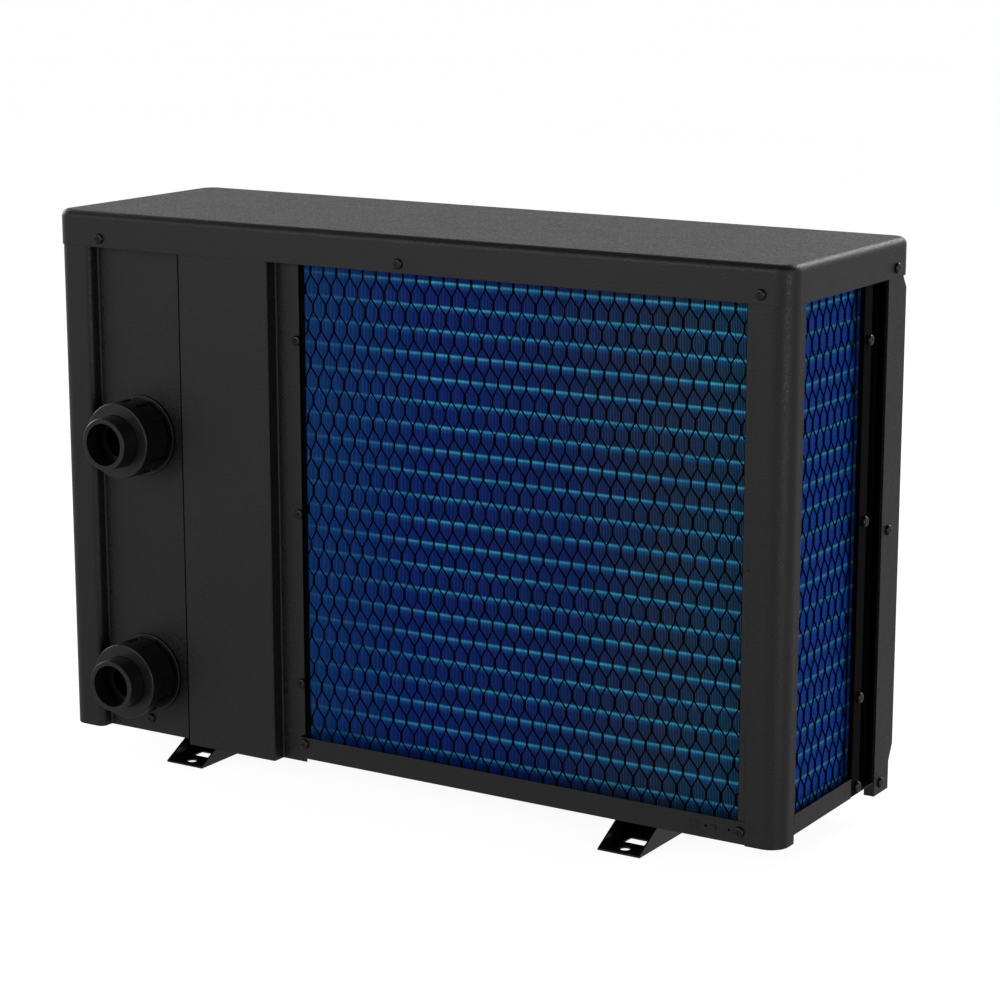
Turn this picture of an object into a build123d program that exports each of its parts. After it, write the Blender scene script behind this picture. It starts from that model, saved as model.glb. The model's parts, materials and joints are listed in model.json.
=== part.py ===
from build123d import *
import math
import os

os.makedirs("parts", exist_ok=True)

# Outdoor pool heat pump. All sizes in millimetres.
# Origin: on the floor, at the centre of the four foot bolt holes. +Z is up, +Y points out of
# the coil and water connection face, +X points towards the water connection end.

# ---- driving dimensions: casing ----
HEIGHT = 658.0
COVER_WIDTH = 965.0
COVER_DEPTH = 297.0
COVER_SKIRT = 41.3
COVER_CORNER_R = 20.0
COVER_EDGE_R = 8.0
CASING_SHIFT_X = -10.5
SHEET = 1.2
SKIRT_STEP = 1.5
FOLD_R = 2.0
TRAY_EDGE_R = 2.5
FLANGE_RETURN = 12.0
PANEL_TOP = 642.0
CONNECTION_BOTTOM = 27.2
FRONT_BOTTOM = 31.0
FRONT_Y = -141.0
FRONT_BAND_Y = -132.0
FRONT_RETURN_Y = -92.5
BEVEL_Z = (63.0, 81.6, 603.0, 616.5)
RECESS = 17.5
FLANGE_X = 131.4
BOX_X = (164.9, 291.7)
COLUMN_X = 424.3
COLUMN_INNER_R = 8.0
COLUMN_OUTER_R = 18.0
COLUMN_END_Y = 95.0
PARTITION_X = 150.0
POST_X = -450.5
POST_Y = 112.5
POST_R = 22.0
STRIP_X = -441.6
END_STRIP_Y = (-31.5, -51.5)
END_WEB_X = -478.5

# ---- driving dimensions: base and feet ----
RIM_BOTTOM = 38.0
PAN_FLOOR = 46.7
BACK_RIM_TOP = 63.3
END_RIM_TOP = 68.9
BACK_RIM_X = 128.4
FOOT_PITCH = 597.0
FOOT_HOLE_PITCH = 267.0
FOOT_WIDTH = 52.6
FOOT_SHEET = 2.0
FOOT_HOLE_R = 6.0
FOOT_SLOPE = 0.54
FOOT_SHOULDER = 8.0
FOOT_SLOT = (26.0, 18.0)
FOOT_SLOT_INSET = 43.0
BOLT_HOLE_R = 4.4
BOLT_R = 4.0
BOLT_FLANGE_R = 9.0
BOLT_HEX_R = 7.5
BOLT_HEX_H = 7.0
BOLT_LENGTH = 14.0
LANCED_TAB_X = (-416.0, -408.0)
RIM_HOLE_XS = (-404.0, -432.0)
RIM_DETAIL_Z = 51.6
RIM_GROOVE_X = -390.4
RIM_GROOVE_R = 5.8

# ---- driving dimensions: water unions ----
UNION_X = 363.0
OUTLET_Z = 394.5
INLET_Z = 102.0
SOCKET_R = 25.1
SOCKET_DEPTH = 31.0
WATER_BORE_R = 21.0
TAIL_R = 30.75
TAIL_END_Y = 203.5
NUT_R = 45.0
NUT_FRONT_Y = 179.5
NUT_BACK_Y = 138.0
ESCUTCHEON_R = 48.0
ESCUTCHEON_T = 4.0
THREAD_R = 36.5
GRIP_RIBS = 10

# ---- driving dimensions: coil and guard ----
TUBE_PITCH = 26.8
TUBE_ROWS = 22
FIRST_TUBE_Z = 68.7
COIL_FACE_Y = 126.5
COIL_FACE_X = -480.0
COIL_DEPTH = 38.0
COIL_BEND_R = 60.0
COIL_END_X = 127.0
COIL_END_Y = -47.0
TUBE_R = 4.8
GUARD_Y = 140.0
GUARD_X = -484.5
GUARD_T = 1.0

# ---- driving dimensions: fan ----
FAN_X = -165.0
FAN_Z = 342.0
ORIFICE_R = 240.0
ORIFICE_LIP_R = 252.0
MOUTH_R = 9.0
MOUTH_DEPTH = 40.0
FAN_TIP_R = 231.0
FAN_HUB_R = 46.0
FAN_BLADES = 4
BLADE_T = 3.2
HUB_DEPTH = 62.0
HUB_EDGE_R = 10.0
HUB_WALL = 3.0
HUB_CAP_T = 8.0
HUB_BOSS_R = 13.0
NUT_HEX_R = 10.0
# Each blade section: radius, chord, pitch angle, sweep angle.
BLADE_SECTIONS = ((43.0, 92.0, 42.0, 0.0), (138.5, 150.0, 30.0, 10.0), (231.0, 205.0, 21.0, 24.0))
SHAFT_R = 6.0
SHAFT_PLAY = 0.05
SHAFT_SEAT = 0.02
SHAFT_Y = (-136.0, 52.0)
GRILLE_Y = -166.0
GRILLE_RIM_R = 256.0
GRILLE_TAB_R = 266.0
GRILLE_RINGS = 9
GRILLE_SPOKES = 12
GRILLE_CAP_R = 32.0
GRILLE_WIRE = 3.0
GRILLE_T = 4.0

# ---- driving dimensions: controller ----
PAD_X = 310.0
PAD_Z = 520.0
PAD_W = 166.0
PAD_H = 100.0
PAD_T = 5.0
PAD_CORNER_R = 9.0
PAD_EDGE_R = 2.0
PAD_LAP = 8.0
BOSS_DEPTH = 13.0
FIT = 0.3
BUTTON_R = 6.9
BUTTON_PLAY = 0.35
BUTTON_PITCH = 24.0
BUTTON_NAMES = ("power", "mode", "down", "up")

# ---- driving dimensions: fittings on the casing ----
NECK_R = 30.0
HOLD_Y = 0.0
HOLD_Z = 540.0
HOLD_W = 110.0
HOLD_H = 40.0
HOLD_DEPTH = 30.0
HOLD_RIM = 8.0
HOLD_WALL = 2.0
HOLD_CORNER_R = 5.0
GLAND_Y = -50.0
GLAND_Z = 130.0
GLAND_R = 10.3
GLAND_BORE_R = 6.5
GLAND_HEX_R = 14.0
GLAND_HEX_T = 6.0
GLAND_DOME_R = 11.5
GLAND_DOME_L = 12.0
DRAIN_X = -40.0
DRAIN_Y = 20.0
DRAIN_R = 9.5
DRAIN_BORE_R = 7.0
DRAIN_LENGTH = 24.0
DRAIN_FLANGE_R = 16.5
DRAIN_FLANGE_T = 2.0
FOOT_BOLT_YS = (-40.0, 40.0)
GRILLE_TAB_T = 2.0

# ---- driving dimensions: inside the unit ----
PIPE_R = 25.0
PIPE_END_Y = 112.0
SEAL_Y = 163.0
SEAL_T = 3.0
COLLAR_T = 5.5
THREAD_TURNS = 5
THREAD_PITCH = 4.4
NUT_RING_W = 14.0
LUG_T = 4.0
GRIP_RIB_W = 6.0
GRIP_RIB_L = 27.0
PLATE_T = 1.5
HEADER_Z = (215.0, 380.0)
HEADER_ROWS = (6, 8, 10)
HEADER_X = 163.0
HEADER_R = 8.0
GUARD_SLOT_PITCH = 40.8
GUARD_SLOTS = 6
FAN_Y = -92.0
MOTOR_R = 50.0
MOTOR_Y = (-18.0, 66.0)
MOTOR_NOSE_R = 18.0
MOTOR_NOSE_L = 8.0
LUG_SPACING = (36.0, 30.0)
STRAP_DZ = 60.0
UPRIGHT_DX = 42.0
UPRIGHT_W = 24.0
BRACKET_T = 1.6
WINDOW_W = 104.0
WINDOW_H = 44.0
WINDOW_Z = 535.0
WINDOW_R = 3.0
WINDOW_SEAT = 2.5
BUTTON_Z = 493.0
BUTTON_LIP = 2.0
BUTTON_WEB = 3.0
BUTTON_LENGTH = 11.2
COMPRESSOR_XY = (235.0, -40.0)
COMPRESSOR_Z = (68.0, 296.0)
COMPRESSOR_R = 58.0
COMPRESSOR_ARM = (96.0, 34.0, 4.0)
COMPRESSOR_BOLT_R = 70.0
STUB_R = 6.5
ACCUMULATOR_XY = (326.0, -82.0)
ACCUMULATOR_Z = (92.0, 252.0)
ACCUMULATOR_R = 30.0
ACCUMULATOR_STUB = 11.0
SHELL_Y = 20.0
SHELL_R = 55.0
SHELL_Z = (62.0, 432.0)
COIL_R = 36.0
COIL_TURNS = 9
EXCHANGER_PORT_ZS = (150.0, 350.0)
SWITCH_Y = 92.0
VALVE_Z = 352.0
VALVE_R = 14.0
VALVE_LENGTH = 92.0
VALVE_STUB = 22.0
LIQUID_Y = 106.0
LIQUID_Z = 150.0
DRIER_X = (190.0, 270.0)
EXPANSION_X = 172.0
EXPANSION_R = 8.0
BOARD_T = 1.6
# Each part on the board: place across and up, width, height, depth.
BOARD_PARTS = (
    (40, 40, 40, 30, 18), (100, 34, 26, 26, 30), (150, 40, 50, 40, 24),
    (60, 104, 60, 24, 14), (210, 60, 24, 60, 20), (150, 108, 40, 20, 12),
)
BOX_SPACE = (PARTITION_X + SHEET, 438.0, -91.5, 55.0, 455.0, 610.0)

# ---- driving dimensions: screws ----
HEAD_R = 6.0
HEAD_H = 3.4
SHANK_R = 2.0
SHANK_LENGTH = 7.0
SCREW_HOLE_R = 2.4
HEAD_ROUND = 2.4
RECESS_SLOT = (5.6, 1.2, 2.6)

# ---- worked out from the above ----
COVER_X = (CASING_SHIFT_X - COVER_WIDTH / 2, CASING_SHIFT_X + COVER_WIDTH / 2)
COVER_Y = COVER_DEPTH / 2
SKIRT_Z = HEIGHT - COVER_SKIRT
BACK_Y = COVER_Y - SKIRT_STEP
RECESS_Y = BACK_Y - RECESS
WATER_END_X = COVER_X[1] - SKIRT_STEP
COIL_END_FACE_X = COVER_X[0] + SKIRT_STEP
COIL_Z = (FIRST_TUBE_Z - TUBE_PITCH / 2, FIRST_TUBE_Z + (TUBE_ROWS - 0.5) * TUBE_PITCH)
UNION_ZS = {"outlet": OUTLET_Z, "inlet": INLET_Z}
BACK = (0, 1, 0)
FRONT = (0, -1, 0)
UP = (0, 0, 1)
WATER_END = (1, 0, 0)
COIL_END = (-1, 0, 0)

# Each screw: a point on the outside surface and the way its head faces.
COVER_SCREWS = (
    [((x, COVER_Y, 627.0), BACK) for x in (405.5, -15.1, -457.2)]
    + [((COVER_X[0], -109.0, 627.0), COIL_END), ((COVER_X[1], -109.0, 627.0), WATER_END)]
)
FLANGE_SCREWS = [((136.2, RECESS_Y, z), BACK) for z in (122.5, 324.5, 526.5)]
UNION_PANEL_SCREWS = [((UNION_X, RECESS_Y, 44.0), BACK)]
RIM_SCREWS = [((121.8, BACK_Y, 55.7), BACK), ((-444.0, BACK_Y, 51.7), BACK)]
END_STRIP_SCREWS = [((COIL_END_FACE_X, -45.5, z), COIL_END) for z in (56.8, 158.8, 357.8, 556.8)]
FRONT_END_SCREWS = [((COIL_END_FACE_X, -108.5, z), COIL_END) for z in (43.6, 335.8)]
SIDE_SCREWS = [((WATER_END_X, y, 52.0), WATER_END) for y in (-108.5, -60.0, 60.0, 108.0)]
FRONT_SCREWS = [((x, FRONT_BAND_Y, 48.0), FRONT) for x in (-420.0, -165.0, 90.0, 180.0, 440.0)]
GRILLE_SCREWS = [
    ((FAN_X + GRILLE_TAB_R * math.cos(a), FRONT_Y, FAN_Z + GRILLE_TAB_R * math.sin(a)), FRONT)
    for a in (math.pi / 4, 3 * math.pi / 4, 5 * math.pi / 4, 7 * math.pi / 4)
]


# ---------------------------------------------------------------- helpers
def block(x0, x1, y0, y1, z0, z1):
    """A box given by its low and high planes."""
    return Pos((x0 + x1) / 2, (y0 + y1) / 2, (z0 + z1) / 2) * Box(x1 - x0, y1 - y0, z1 - z0)


def rod(start, direction, radius, length):
    """A round bar from start along direction."""
    bar = Cylinder(radius, length, align=(Align.CENTER, Align.CENTER, Align.MIN))
    return Plane(origin=start, z_dir=direction) * bar


def tube(start, direction, outer, inner, length):
    """A straight tube from start along direction."""
    return rod(start, direction, outer, length) - rod(start, direction, inner, length)


def folded(points, radii, z0, z1, side=Side.RIGHT, thickness=SHEET):
    """Sheet folded along an outline in plan, standing from z0 to z1."""
    line = FilletPolyline(*points, radius=radii)
    outline = make_face(offset(line, amount=thickness, side=side))
    return Pos(0, 0, z0) * extrude(outline, z1 - z0, dir=UP)


def bent_tube(points, bend_r, radius):
    """Round pipe along straight runs joined by bends."""
    path = FilletPolyline(*points, radius=bend_r)
    return sweep((path ^ 0) * Circle(radius), path=path)


def at(point, direction, shape):
    """Places a shape built along +Z at point, facing direction."""
    return Plane(origin=point, z_dir=direction) * shape


def drilled(part, screws, radius=SCREW_HOLE_R):
    """Takes the clearance holes of the screws out of a part."""
    for point, direction in screws:
        hole = Cylinder(radius, 4 * SHANK_LENGTH)
        part = part - at(point, direction, hole)
    return part


def pan_head_screw():
    """Cross recessed pan head screw along +Z, its seat at the origin."""
    head = Cylinder(HEAD_R, HEAD_H, align=(Align.CENTER, Align.CENTER, Align.MIN))
    head = fillet(head.faces().sort_by(Axis.Z)[-1].edges(), HEAD_ROUND)
    shank = Pos(0, 0, -SHANK_LENGTH / 2) * Cylinder(SHANK_R, SHANK_LENGTH)
    slot = Pos(0, 0, HEAD_H) * Box(*RECESS_SLOT)
    return head + shank - slot - Rot(0, 0, 90) * slot


# ---------------------------------------------------------------- casing
def top_cover():
    """Lid with a folded skirt, round corners and a soft top edge."""
    def shell(inset, z0, z1):
        body = block(
            COVER_X[0] + inset, COVER_X[1] - inset, -COVER_Y + inset, COVER_Y - inset, z0, z1
        )
        body = fillet(body.edges().filter_by(Axis.Z), COVER_CORNER_R - inset)
        return fillet(body.faces().sort_by(Axis.Z)[-1].edges(), COVER_EDGE_R - inset)

    lid = shell(0, SKIRT_Z, HEIGHT) - shell(SHEET, SKIRT_Z - SHEET, HEIGHT - SHEET)
    return drilled(lid, COVER_SCREWS)


def connection_panel():
    """Folded sheet: coil flange, raised box, recessed union field and rounded corner column."""
    points = [
        (FLANGE_X, RECESS_Y),
        (BOX_X[0], RECESS_Y),
        (BOX_X[0], BACK_Y),
        (BOX_X[1], BACK_Y),
        (BOX_X[1], RECESS_Y),
        (COLUMN_X, RECESS_Y),
        (COLUMN_X, BACK_Y),
        (WATER_END_X, BACK_Y),
        (WATER_END_X, COLUMN_END_Y),
    ]
    radii = [FOLD_R, FOLD_R, FOLD_R, FOLD_R, FOLD_R, COLUMN_INNER_R, COLUMN_OUTER_R]
    panel = folded(points, radii, CONNECTION_BOTTOM, PANEL_TOP)
    for z in UNION_ZS.values():
        panel = panel - rod((UNION_X, RECESS_Y - RECESS, z), BACK, NECK_R + FIT, 2 * RECESS)
    screws = FLANGE_SCREWS + UNION_PANEL_SCREWS + SIDE_SCREWS + COVER_SCREWS
    return drilled(panel, screws)


def corner_post():
    """Upright angle at the coil's bend, with a large outer radius and an edge strip behind it."""
    points = [(POST_X, BACK_Y), (COIL_END_FACE_X, BACK_Y), (COIL_END_FACE_X, POST_Y)]
    post = folded(points, POST_R, RIM_BOTTOM - 1.0, PANEL_TOP, side=Side.LEFT)
    strip_y = BACK_Y - SHEET
    strip = block(POST_X - 12.0, STRIP_X, strip_y - SHEET, strip_y, BACK_RIM_TOP, PANEL_TOP)
    post = post + strip
    for z in (127.0, 337.0):
        post = post - rod((POST_X + 1.6, strip_y - 2 * SHEET, z), BACK, 0.9, 3 * SHEET)
    return drilled(post, COVER_SCREWS)


def front_tray(x0, x1, z_top):
    """Front sheet with a raised field, bevelled above and below, and a return at each end."""
    def prism(inset, spill):
        low, low_bevel, high_bevel, high = BEVEL_Z
        outline = [
            (FRONT_RETURN_Y + spill, FRONT_BOTTOM - spill),
            (FRONT_BAND_Y + inset, FRONT_BOTTOM - spill),
            (FRONT_BAND_Y + inset, low),
            (FRONT_Y + inset, low_bevel),
            (FRONT_Y + inset, high_bevel),
            (FRONT_BAND_Y + inset, high),
            (FRONT_BAND_Y + inset, z_top + spill),
            (FRONT_RETURN_Y + spill, z_top + spill),
        ]
        face = make_face(Polyline(*[(x0 + inset, y, z) for y, z in outline], close=True))
        return extrude(face, x1 - x0 - 2 * inset, dir=WATER_END)

    skin = prism(0, 0)
    rims = [
        e
        for e in skin.edges()
        if e.center().Y < FRONT_RETURN_Y - 1
        and FRONT_BOTTOM + 1 < e.center().Z < z_top - 1
        and abs(e.center().X - (x0 + x1) / 2) > 1
    ]
    skin = fillet(rims, TRAY_EDGE_R)
    return skin - prism(SHEET, SHEET)


def pan_notch(x0, x1):
    """Space round the pan's front rim that the end wall of a front sheet has to clear."""
    return block(x0, x1, FRONT_BAND_Y + SHEET, FRONT_RETURN_Y + 1, FRONT_BOTTOM - 1, BACK_RIM_TOP + 1)


def coil_end_return():
    """Inward lip of the front panel that closes on the end strip."""
    y = FRONT_RETURN_Y
    return block(COIL_END_FACE_X, END_WEB_X - 0.5, y - SHEET, y, FRONT_BOTTOM, PANEL_TOP)


def front_panel():
    """Front sheet over the fan, with a drawn bell mouth for the air."""
    panel = front_tray(COIL_END_FACE_X, PARTITION_X - 0.3, PANEL_TOP)
    panel = panel - rod(fan_point(FRONT_Y - 1), BACK, ORIFICE_LIP_R, 2 * MOUTH_R)
    with_lip = FilletPolyline(
        (ORIFICE_LIP_R, 0, 0), (ORIFICE_R, 0, 0), (ORIFICE_R, 0, MOUTH_DEPTH), radius=MOUTH_R
    )
    profile = make_face(offset(with_lip, amount=SHEET, side=Side.RIGHT))
    mouth = revolve(profile, Axis.Z)
    mouth = Plane(origin=fan_point(FRONT_Y), z_dir=BACK) * mouth
    screws = GRILLE_SCREWS + FRONT_END_SCREWS + FRONT_SCREWS + COVER_SCREWS
    end_x = PARTITION_X - 0.3
    panel = panel + mouth + coil_end_return() - pan_notch(end_x - SHEET, end_x + 1)
    return drilled(panel, screws)


def pad_block(inset, y0, y1):
    """Block over the controller's outline, drawn in by inset."""
    half_w = PAD_W / 2 - inset
    half_h = PAD_H / 2 - inset
    return block(PAD_X - half_w, PAD_X + half_w, y0, y1, PAD_Z - half_h, PAD_Z + half_h)


def service_panel():
    """Front sheet over the compressor, cut out for the controller."""
    panel = front_tray(PARTITION_X + SHEET + 0.3, WATER_END_X, PANEL_TOP)
    window = pad_block(PAD_LAP, FRONT_Y - PAD_T, FRONT_Y + PAD_T)
    end_x = PARTITION_X + SHEET + 0.3
    panel = panel - window - pan_notch(end_x - 1, end_x + SHEET)
    return drilled(panel, FRONT_SCREWS + SIDE_SCREWS + COVER_SCREWS)


def side_panel():
    """Flat end panel with a hand hold and a cable gland hole, flanged at both edges."""
    back = COLUMN_END_Y - 0.5
    front = FRONT_RETURN_Y + 0.5
    inner = WATER_END_X - FLANGE_RETURN
    points = [(inner, back), (WATER_END_X, back), (WATER_END_X, front), (inner, front)]
    panel = folded(points, FOLD_R, FRONT_BOTTOM, PANEL_TOP)
    face_x = WATER_END_X - SHEET
    rim_space = block(inner - 1, face_x, front - 1, back + 1, FRONT_BOTTOM - 1, BACK_RIM_TOP + 1)
    panel = panel - rim_space
    panel = panel - hold_block(0, face_x - 1, WATER_END_X + 1)
    panel = panel - rod(gland_point(-5), WATER_END, GLAND_R, 10)
    return drilled(panel, SIDE_SCREWS)


def hold_block(inset, x0, x1):
    """Block over the hand hold's opening, drawn in by inset."""
    half_w = HOLD_W / 2 - inset
    half_h = HOLD_H / 2 - inset
    return block(x0, x1, HOLD_Y - half_w, HOLD_Y + half_w, HOLD_Z - half_h, HOLD_Z + half_h)


def hand_hold():
    """Moulded pocket that a hand reaches into from below its rim."""
    depth_x = WATER_END_X - HOLD_DEPTH
    rim = hold_block(-HOLD_RIM, WATER_END_X, WATER_END_X + HOLD_WALL)
    rim = fillet(rim.edges().filter_by(Axis.X), HOLD_RIM)
    cup = hold_block(FIT, depth_x, WATER_END_X)
    cup = fillet(cup.edges().filter_by(Axis.X), HOLD_CORNER_R)
    hollow = hold_block(FIT + HOLD_WALL, depth_x + HOLD_WALL, WATER_END_X + 2 * HOLD_WALL)
    return rim + cup - fillet(hollow.edges().filter_by(Axis.X), HOLD_CORNER_R - HOLD_WALL)


def end_strip():
    """Folded upright beside the coil's free end: screw strip, step and closing web."""
    x = COIL_END_FACE_X
    points = [
        (x, END_STRIP_Y[0]),
        (x, END_STRIP_Y[1]),
        (END_WEB_X, END_STRIP_Y[1]),
        (END_WEB_X, FRONT_RETURN_Y + 0.3 + SHEET),
        (END_WEB_X - 10.0, FRONT_RETURN_Y + 0.3 + SHEET),
    ]
    radii = [2.0, 2.0, 2.0]
    strip = folded(points, radii, PAN_FLOOR + SHEET, PANEL_TOP, side=Side.LEFT)
    return drilled(strip, END_STRIP_SCREWS)


def partition():
    """Sheet between the fan chamber and the compressor chamber."""
    front = FRONT_BAND_Y + 2 * SHEET
    wall = block(PARTITION_X, PARTITION_X + SHEET, front, 86.0, PAN_FLOOR + SHEET, PANEL_TOP)
    flange_y = FRONT_RETURN_Y + 1
    z0 = PAN_FLOOR + SHEET
    return wall + block(PARTITION_X + SHEET, PARTITION_X + 10, flange_y, 84.0, z0, z0 + SHEET)


def base_pan():
    """Tray that carries everything, with rims folded down and up along its edges."""
    top = PAN_FLOOR + SHEET
    back_inner = BACK_Y - SHEET
    recess_back = RECESS_Y - SHEET
    front = FRONT_BAND_Y + SHEET
    coil_x = COIL_END_FACE_X
    water_x = WATER_END_X - SHEET
    end_y = POST_Y - 0.5
    strip_y = END_STRIP_Y[0] + 1
    below = PAN_FLOOR - 9
    pan = block(coil_x, BACK_RIM_X, front, BACK_Y, PAN_FLOOR, top)
    pan = pan + block(BACK_RIM_X - 1, water_x, front, recess_back, PAN_FLOOR, top)
    pan = pan + block(POST_X, BACK_RIM_X, back_inner, BACK_Y, RIM_BOTTOM, BACK_RIM_TOP)
    rim_y = recess_back - SHEET
    pan = pan + block(BACK_RIM_X - SHEET, BACK_RIM_X, rim_y, BACK_Y, PAN_FLOOR, BACK_RIM_TOP)
    pan = pan + block(BACK_RIM_X, water_x, rim_y, recess_back, RIM_BOTTOM, BACK_RIM_TOP)
    pan = pan + block(coil_x, coil_x + SHEET, strip_y, end_y, PAN_FLOOR, END_RIM_TOP)
    pan = pan + block(coil_x + SHEET, water_x, front, front + SHEET, RIM_BOTTOM, BACK_RIM_TOP)
    pan = pan + block(water_x - SHEET, water_x, front, recess_back, RIM_BOTTOM, BACK_RIM_TOP)
    # The floor stops short of the round corner of the post and of the folded end strip.
    pan = pan - block(coil_x - 1, POST_X, end_y, BACK_Y + 1, below, END_RIM_TOP)
    pan = pan + block(coil_x + POST_R / 2, POST_X, end_y, BACK_Y - POST_R / 2, PAN_FLOOR, top)
    pan = pan - block(coil_x - 1, coil_x + SHEET, front - 1, strip_y, below, END_RIM_TOP)
    lip_y = FRONT_RETURN_Y
    pan = pan - block(coil_x - 1, END_WEB_X, lip_y - 2 * SHEET, lip_y + SHEET, PAN_FLOOR - 1, top + 1)
    pan = pan - rod((DRAIN_X, DRAIN_Y, PAN_FLOOR - 5), UP, DRAIN_BORE_R, 10)
    for x in (-FOOT_PITCH / 2, FOOT_PITCH / 2):
        for y in FOOT_BOLT_YS:
            pan = pan - rod((x, y, PAN_FLOOR - 5), UP, BOLT_HOLE_R, 10)
    # Lanced tab, two small holes and a shallow round groove on the coil rim.
    pan = pan + block(*LANCED_TAB_X, BACK_Y, BACK_Y + 1.5, RIM_DETAIL_Z - 2, RIM_DETAIL_Z + 2)
    for x in RIM_HOLE_XS:
        pan = pan - rod((x, BACK_Y - 5, RIM_DETAIL_Z), BACK, 1.6, 10)
    groove_at = (RIM_GROOVE_X, BACK_Y - 0.4, RIM_DETAIL_Z)
    pan = pan - tube(groove_at, BACK, RIM_GROOVE_R, RIM_GROOVE_R - 0.6, 1.0)
    screws = RIM_SCREWS + UNION_PANEL_SCREWS + SIDE_SCREWS + FRONT_SCREWS
    return drilled(pan, screws)


def foot(x):
    """Pressed channel under the casing, its walls cut at a slant at both ends."""
    half = COVER_Y
    rise = (RIM_BOTTOM - FOOT_SHEET) / FOOT_SLOPE
    shoulder = half - rise - FOOT_SHOULDER
    x0 = x - FOOT_WIDTH / 2
    x1 = x + FOOT_WIDTH / 2
    outline = [
        (-half, 0),
        (half, 0),
        (half, FOOT_SHEET),
        (half - rise, RIM_BOTTOM),
        (shoulder, PAN_FLOOR),
        (-shoulder, PAN_FLOOR),
        (rise - half, RIM_BOTTOM),
        (-half, FOOT_SHEET),
    ]
    face = make_face(Polyline(*[(x0, y, z) for y, z in outline], close=True))
    body = extrude(face, FOOT_WIDTH, dir=WATER_END)
    inside = (x0 + FOOT_SHEET, x1 - FOOT_SHEET)
    body = body - block(*inside, -half - 1, half + 1, FOOT_SHEET, PAN_FLOOR - FOOT_SHEET)
    body = body - block(*inside, -half - 1, -shoulder, FOOT_SHEET, 2 * PAN_FLOOR)
    body = body - block(*inside, shoulder, half + 1, FOOT_SHEET, 2 * PAN_FLOOR)
    for side in (-1, 1):
        body = body - rod((x, side * FOOT_HOLE_PITCH / 2, -1), UP, FOOT_HOLE_R, 2 * FOOT_SHEET)
        slot = Pos(x, side * (half - FOOT_SLOT_INSET), 0) * Box(*FOOT_SLOT, 4 * FOOT_SHEET)
        body = body - slot
    for y in FOOT_BOLT_YS:
        body = body - rod((x, y, PAN_FLOOR - 2 * FOOT_SHEET), UP, BOLT_HOLE_R, 10)
    return body


def foot_bolts():
    """Flanged bolts that join the feet to the base pan."""
    seat = PAN_FLOOR + SHEET
    bolts = []
    for x in (-FOOT_PITCH / 2, FOOT_PITCH / 2):
        for y in FOOT_BOLT_YS:
            bolt = rod((x, y, seat), UP, BOLT_FLANGE_R, SKIRT_STEP)
            bolt = bolt + Pos(x, y, seat) * extrude(RegularPolygon(BOLT_HEX_R, 6), BOLT_HEX_H, dir=UP)
            bolt = bolt + rod((x, y, seat - BOLT_LENGTH), UP, BOLT_R, BOLT_LENGTH)
            bolts.append(bolt)
    return bolts


def casing_screws():
    """Every self-tapping screw that holds the sheets together."""
    groups = (
        COVER_SCREWS + FLANGE_SCREWS + UNION_PANEL_SCREWS + RIM_SCREWS + END_STRIP_SCREWS
        + FRONT_END_SCREWS + SIDE_SCREWS + FRONT_SCREWS
    )
    screws = [at(point, direction, pan_head_screw()) for point, direction in groups]
    for (x, y, z), direction in GRILLE_SCREWS:
        screws.append(at((x, y - GRILLE_TAB_T, z), direction, pan_head_screw()))
    return screws


def drain_spigot():
    """Hose spigot under the base pan."""
    tip = PAN_FLOOR - DRAIN_LENGTH
    body = rod((DRAIN_X, DRAIN_Y, tip), UP, DRAIN_R, DRAIN_LENGTH)
    flange_z = PAN_FLOOR - DRAIN_FLANGE_T
    body = body + rod((DRAIN_X, DRAIN_Y, flange_z), UP, DRAIN_FLANGE_R, DRAIN_FLANGE_T)
    return body - rod((DRAIN_X, DRAIN_Y, tip - 1), UP, DRAIN_BORE_R, DRAIN_LENGTH + 5)


def gland_point(dx):
    return (WATER_END_X + dx, GLAND_Y, GLAND_Z)


def cable_gland():
    """Hexagon gland with a domed nut and a clear bore for the supply cable."""
    hexagon = at(gland_point(0), WATER_END, extrude(RegularPolygon(GLAND_HEX_R, 6), GLAND_HEX_T))
    dome = rod(gland_point(GLAND_HEX_T), WATER_END, GLAND_DOME_R, GLAND_DOME_L)
    dome = fillet(dome.faces().sort_by(Axis.X)[-1].edges(), GLAND_DOME_R / 3)
    thread = rod(gland_point(-GLAND_DOME_L), WATER_END, GLAND_R - FIT, GLAND_DOME_L)
    bore = rod(gland_point(-GLAND_DOME_L - 1), WATER_END, GLAND_BORE_R, 4 * GLAND_DOME_L)
    return hexagon + dome + thread - bore


# ---------------------------------------------------------------- water unions
def union_point(z, y):
    return (UNION_X, y, z)


def spigot(z):
    """Flanged bulkhead spigot: neck through the panel, flange outside, threaded nose."""
    flange_y = RECESS_Y + ESCUTCHEON_T
    flange = rod(union_point(z, RECESS_Y), BACK, ESCUTCHEON_R, ESCUTCHEON_T)
    flange = fillet(flange.faces().sort_by(Axis.Y)[-1].edges(), 1.2)
    body = flange + rod(union_point(z, PIPE_END_Y), BACK, NECK_R, RECESS_Y - PIPE_END_Y)
    body = body + rod(union_point(z, flange_y), BACK, THREAD_R - 1.5, SEAL_Y - flange_y)
    for turn in range(THREAD_TURNS):
        y = flange_y + 5.0 + turn * THREAD_PITCH
        body = body + rod(union_point(z, y), BACK, THREAD_R, THREAD_PITCH / 2)
    return body - rod(union_point(z, PIPE_END_Y - 1), BACK, WATER_BORE_R, 100)


def seal(z):
    """Flat section seal ring between the spigot's nose and the tail piece."""
    return tube(union_point(z, SEAL_Y), BACK, THREAD_R - 3.5, WATER_BORE_R + 4, SEAL_T)


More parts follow.
